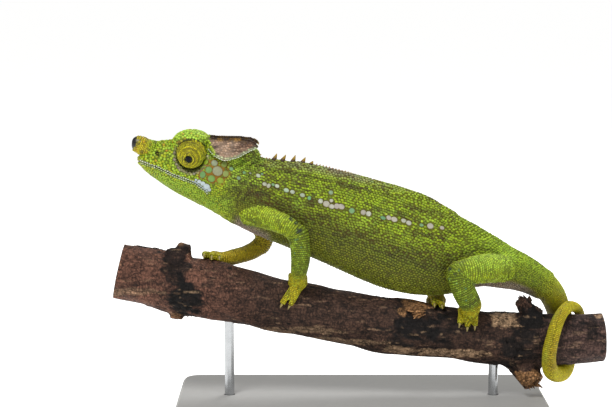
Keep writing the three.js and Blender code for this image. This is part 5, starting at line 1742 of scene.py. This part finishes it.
def shards(name, place, spread, heading, size, count, pigment, seed):
    """Splinters that stand out of broken wood: long thin wedges round one direction."""
    draw = np.random.default_rng(seed)
    parts, tints = [], []
    heading = np.array(heading) / np.linalg.norm(heading)
    for _ in range(count):
        lean = heading + np.clip(draw.normal(0, 0.25, 3), -0.45, 0.45)
        lean /= np.linalg.norm(lean)
        foot = np.array(place) + np.clip(draw.normal(0, 1, 3), -1.2, 1.2) * spread
        length, wide = size[0] * draw.uniform(0.5, 1.2), size[1] * draw.uniform(0.6, 1.3)
        bend, flat = draw.normal(0, 0.5, 3), draw.uniform(0.35, 0.8)
        guide = np.cross(lean, draw.normal(0, 1, 3))
        guide /= np.linalg.norm(guide)
        parts.append(cone(foot, foot + length * lean, wide, (7, 7), 0.1, bend, flat, guide))
        tints.append(np.clip(pigment * draw.uniform(0.35, 1.35) + np.zeros_like(parts[-1][0]), 0, 1))
    finish_piece(build(name, *joined(parts), np.concatenate(tints), smooth=False), BARK_LOOK)


bark = bark_field()
bark_points, bark_quads = bark.mesh()
bark_normals = bark.normals(bark_points)
bark_out, bark_colour = bark_look(bark_points, bark_normals)
sole_gap = np.min([lengths(bark_points - limb_rows(name)[-1][:3]) for name in LIMBS], axis=0)
bark_out = bark_out * ramp(sole_gap, *GRIP_CLEAR)
bark_out = np.where(bark_out > 0, bark_out * 0.8, bark_out) - 0.15
bark_points = bark_points + bark_normals * bark_out[:, None] * [0.3, 1, 1]
finish_piece(build("bark", bark_points, bark_quads, bark_colour), BARK_LOOK, ["perch"])
stub_foot, stub_tip = (np.array(end) for end in TWIGS[3][:2])
stub_way = stub_tip - stub_foot
shards("stub_splinters", stub_tip - 1.5 * stub_way / 12, 1.4, stub_way, (2.3, 0.85), 60, FIBRE, 91)
flap_foot, flap_tip = (np.array(end) for end in TWIGS[4][:2])
shards("flap_splinters", 0.6 * flap_tip + 0.4 * flap_foot, 1.3, (-0.35, -0.2, 0.9), (3.4, 1.3), 30,
       BROWN_BARK * 1.2, 92)
shards("scar_splinters", on_branch(16.5, -42, -0.6), 1.3, (1.0, -0.25, 0.35), (3.2, 0.45), 26, FIBRE, 93)

# ------------------------------------------------------------------ stand

for node_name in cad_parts:
    if node_name.startswith("stand_"):
        node = bpy.data.objects.get(node_name)
        node.data.materials.clear()
        node.data.materials.append((BASE_LOOK if "base" in node_name else ROD_LOOK).made)

# ------------------------------------------------------------------ studio

WHITE = (1.0, 1.0, 1.0, 1.0)
PAPER_LOOK = material("paper", 0.9, 0.1, colour=linear(240, 240, 238))
PAPER_GLOW = 0.7
FLOOR_HALF = 20000.0
WORLD_LIGHT = 0.34
LENS, FILM = 106.95, 36.0     # millimetres
LAMPS = {     # place, target, watts, size
    "key": ((-200, -380, 620), (-10, 0, 60), 3.5, 300),
    "fill": ((380, -480, 300), (0, 0, 60), 0.8, 400),
    "rim": ((120, 300, 520), (0, 0, 60), 1.6, 260),
}


def studio_floor():
    """A wide pale floor, lit from within a little so that it fades to white."""
    points = np.array([(x, y, 0.0) for x, y in ((-1, -1), (1, -1), (1, 1), (-1, 1))]) * FLOOR_HALF
    piece = build("floor", points, np.array([[0, 1, 2, 3]]))
    PAPER_LOOK.fill(PAPER_LOOK.shader, Emission_Color=WHITE, Emission_Strength=PAPER_GLOW)
    piece.data.materials.append(PAPER_LOOK.made)


def set_up(name, data, place, heading):
    """Puts a lamp or the camera into the scene, looking that way."""
    thing = bpy.data.objects.new(name, data)
    bpy.context.scene.collection.objects.link(thing)
    thing.location = Vector(place) * MM
    thing.rotation_euler = Vector(heading).to_track_quat("-Z", "Y").to_euler()
    return thing


studio_floor()
for lamp_name, (place, target, power, lamp_size) in LAMPS.items():
    lamp = bpy.data.lights.new(lamp_name, "AREA")
    lamp.shape, lamp.size, lamp.energy = "DISK", lamp_size * MM, power
    set_up(lamp_name, lamp, place, Vector(target) - Vector(place))

world = bpy.data.worlds.new("studio")
bpy.context.scene.world = world
world.use_nodes = True
world.node_tree.nodes["Background"].inputs["Color"].default_value = WHITE
world.node_tree.nodes["Background"].inputs["Strength"].default_value = WORLD_LIGHT

camera = bpy.data.cameras.new("camera")
camera.lens, camera.sensor_width = LENS, FILM
camera.clip_start, camera.clip_end = 0.05, 60.0
bpy.context.scene.camera = set_up("camera", camera, CAMERA_PLACE, FORWARD)
bpy.context.scene.view_settings.view_transform = "Standard"
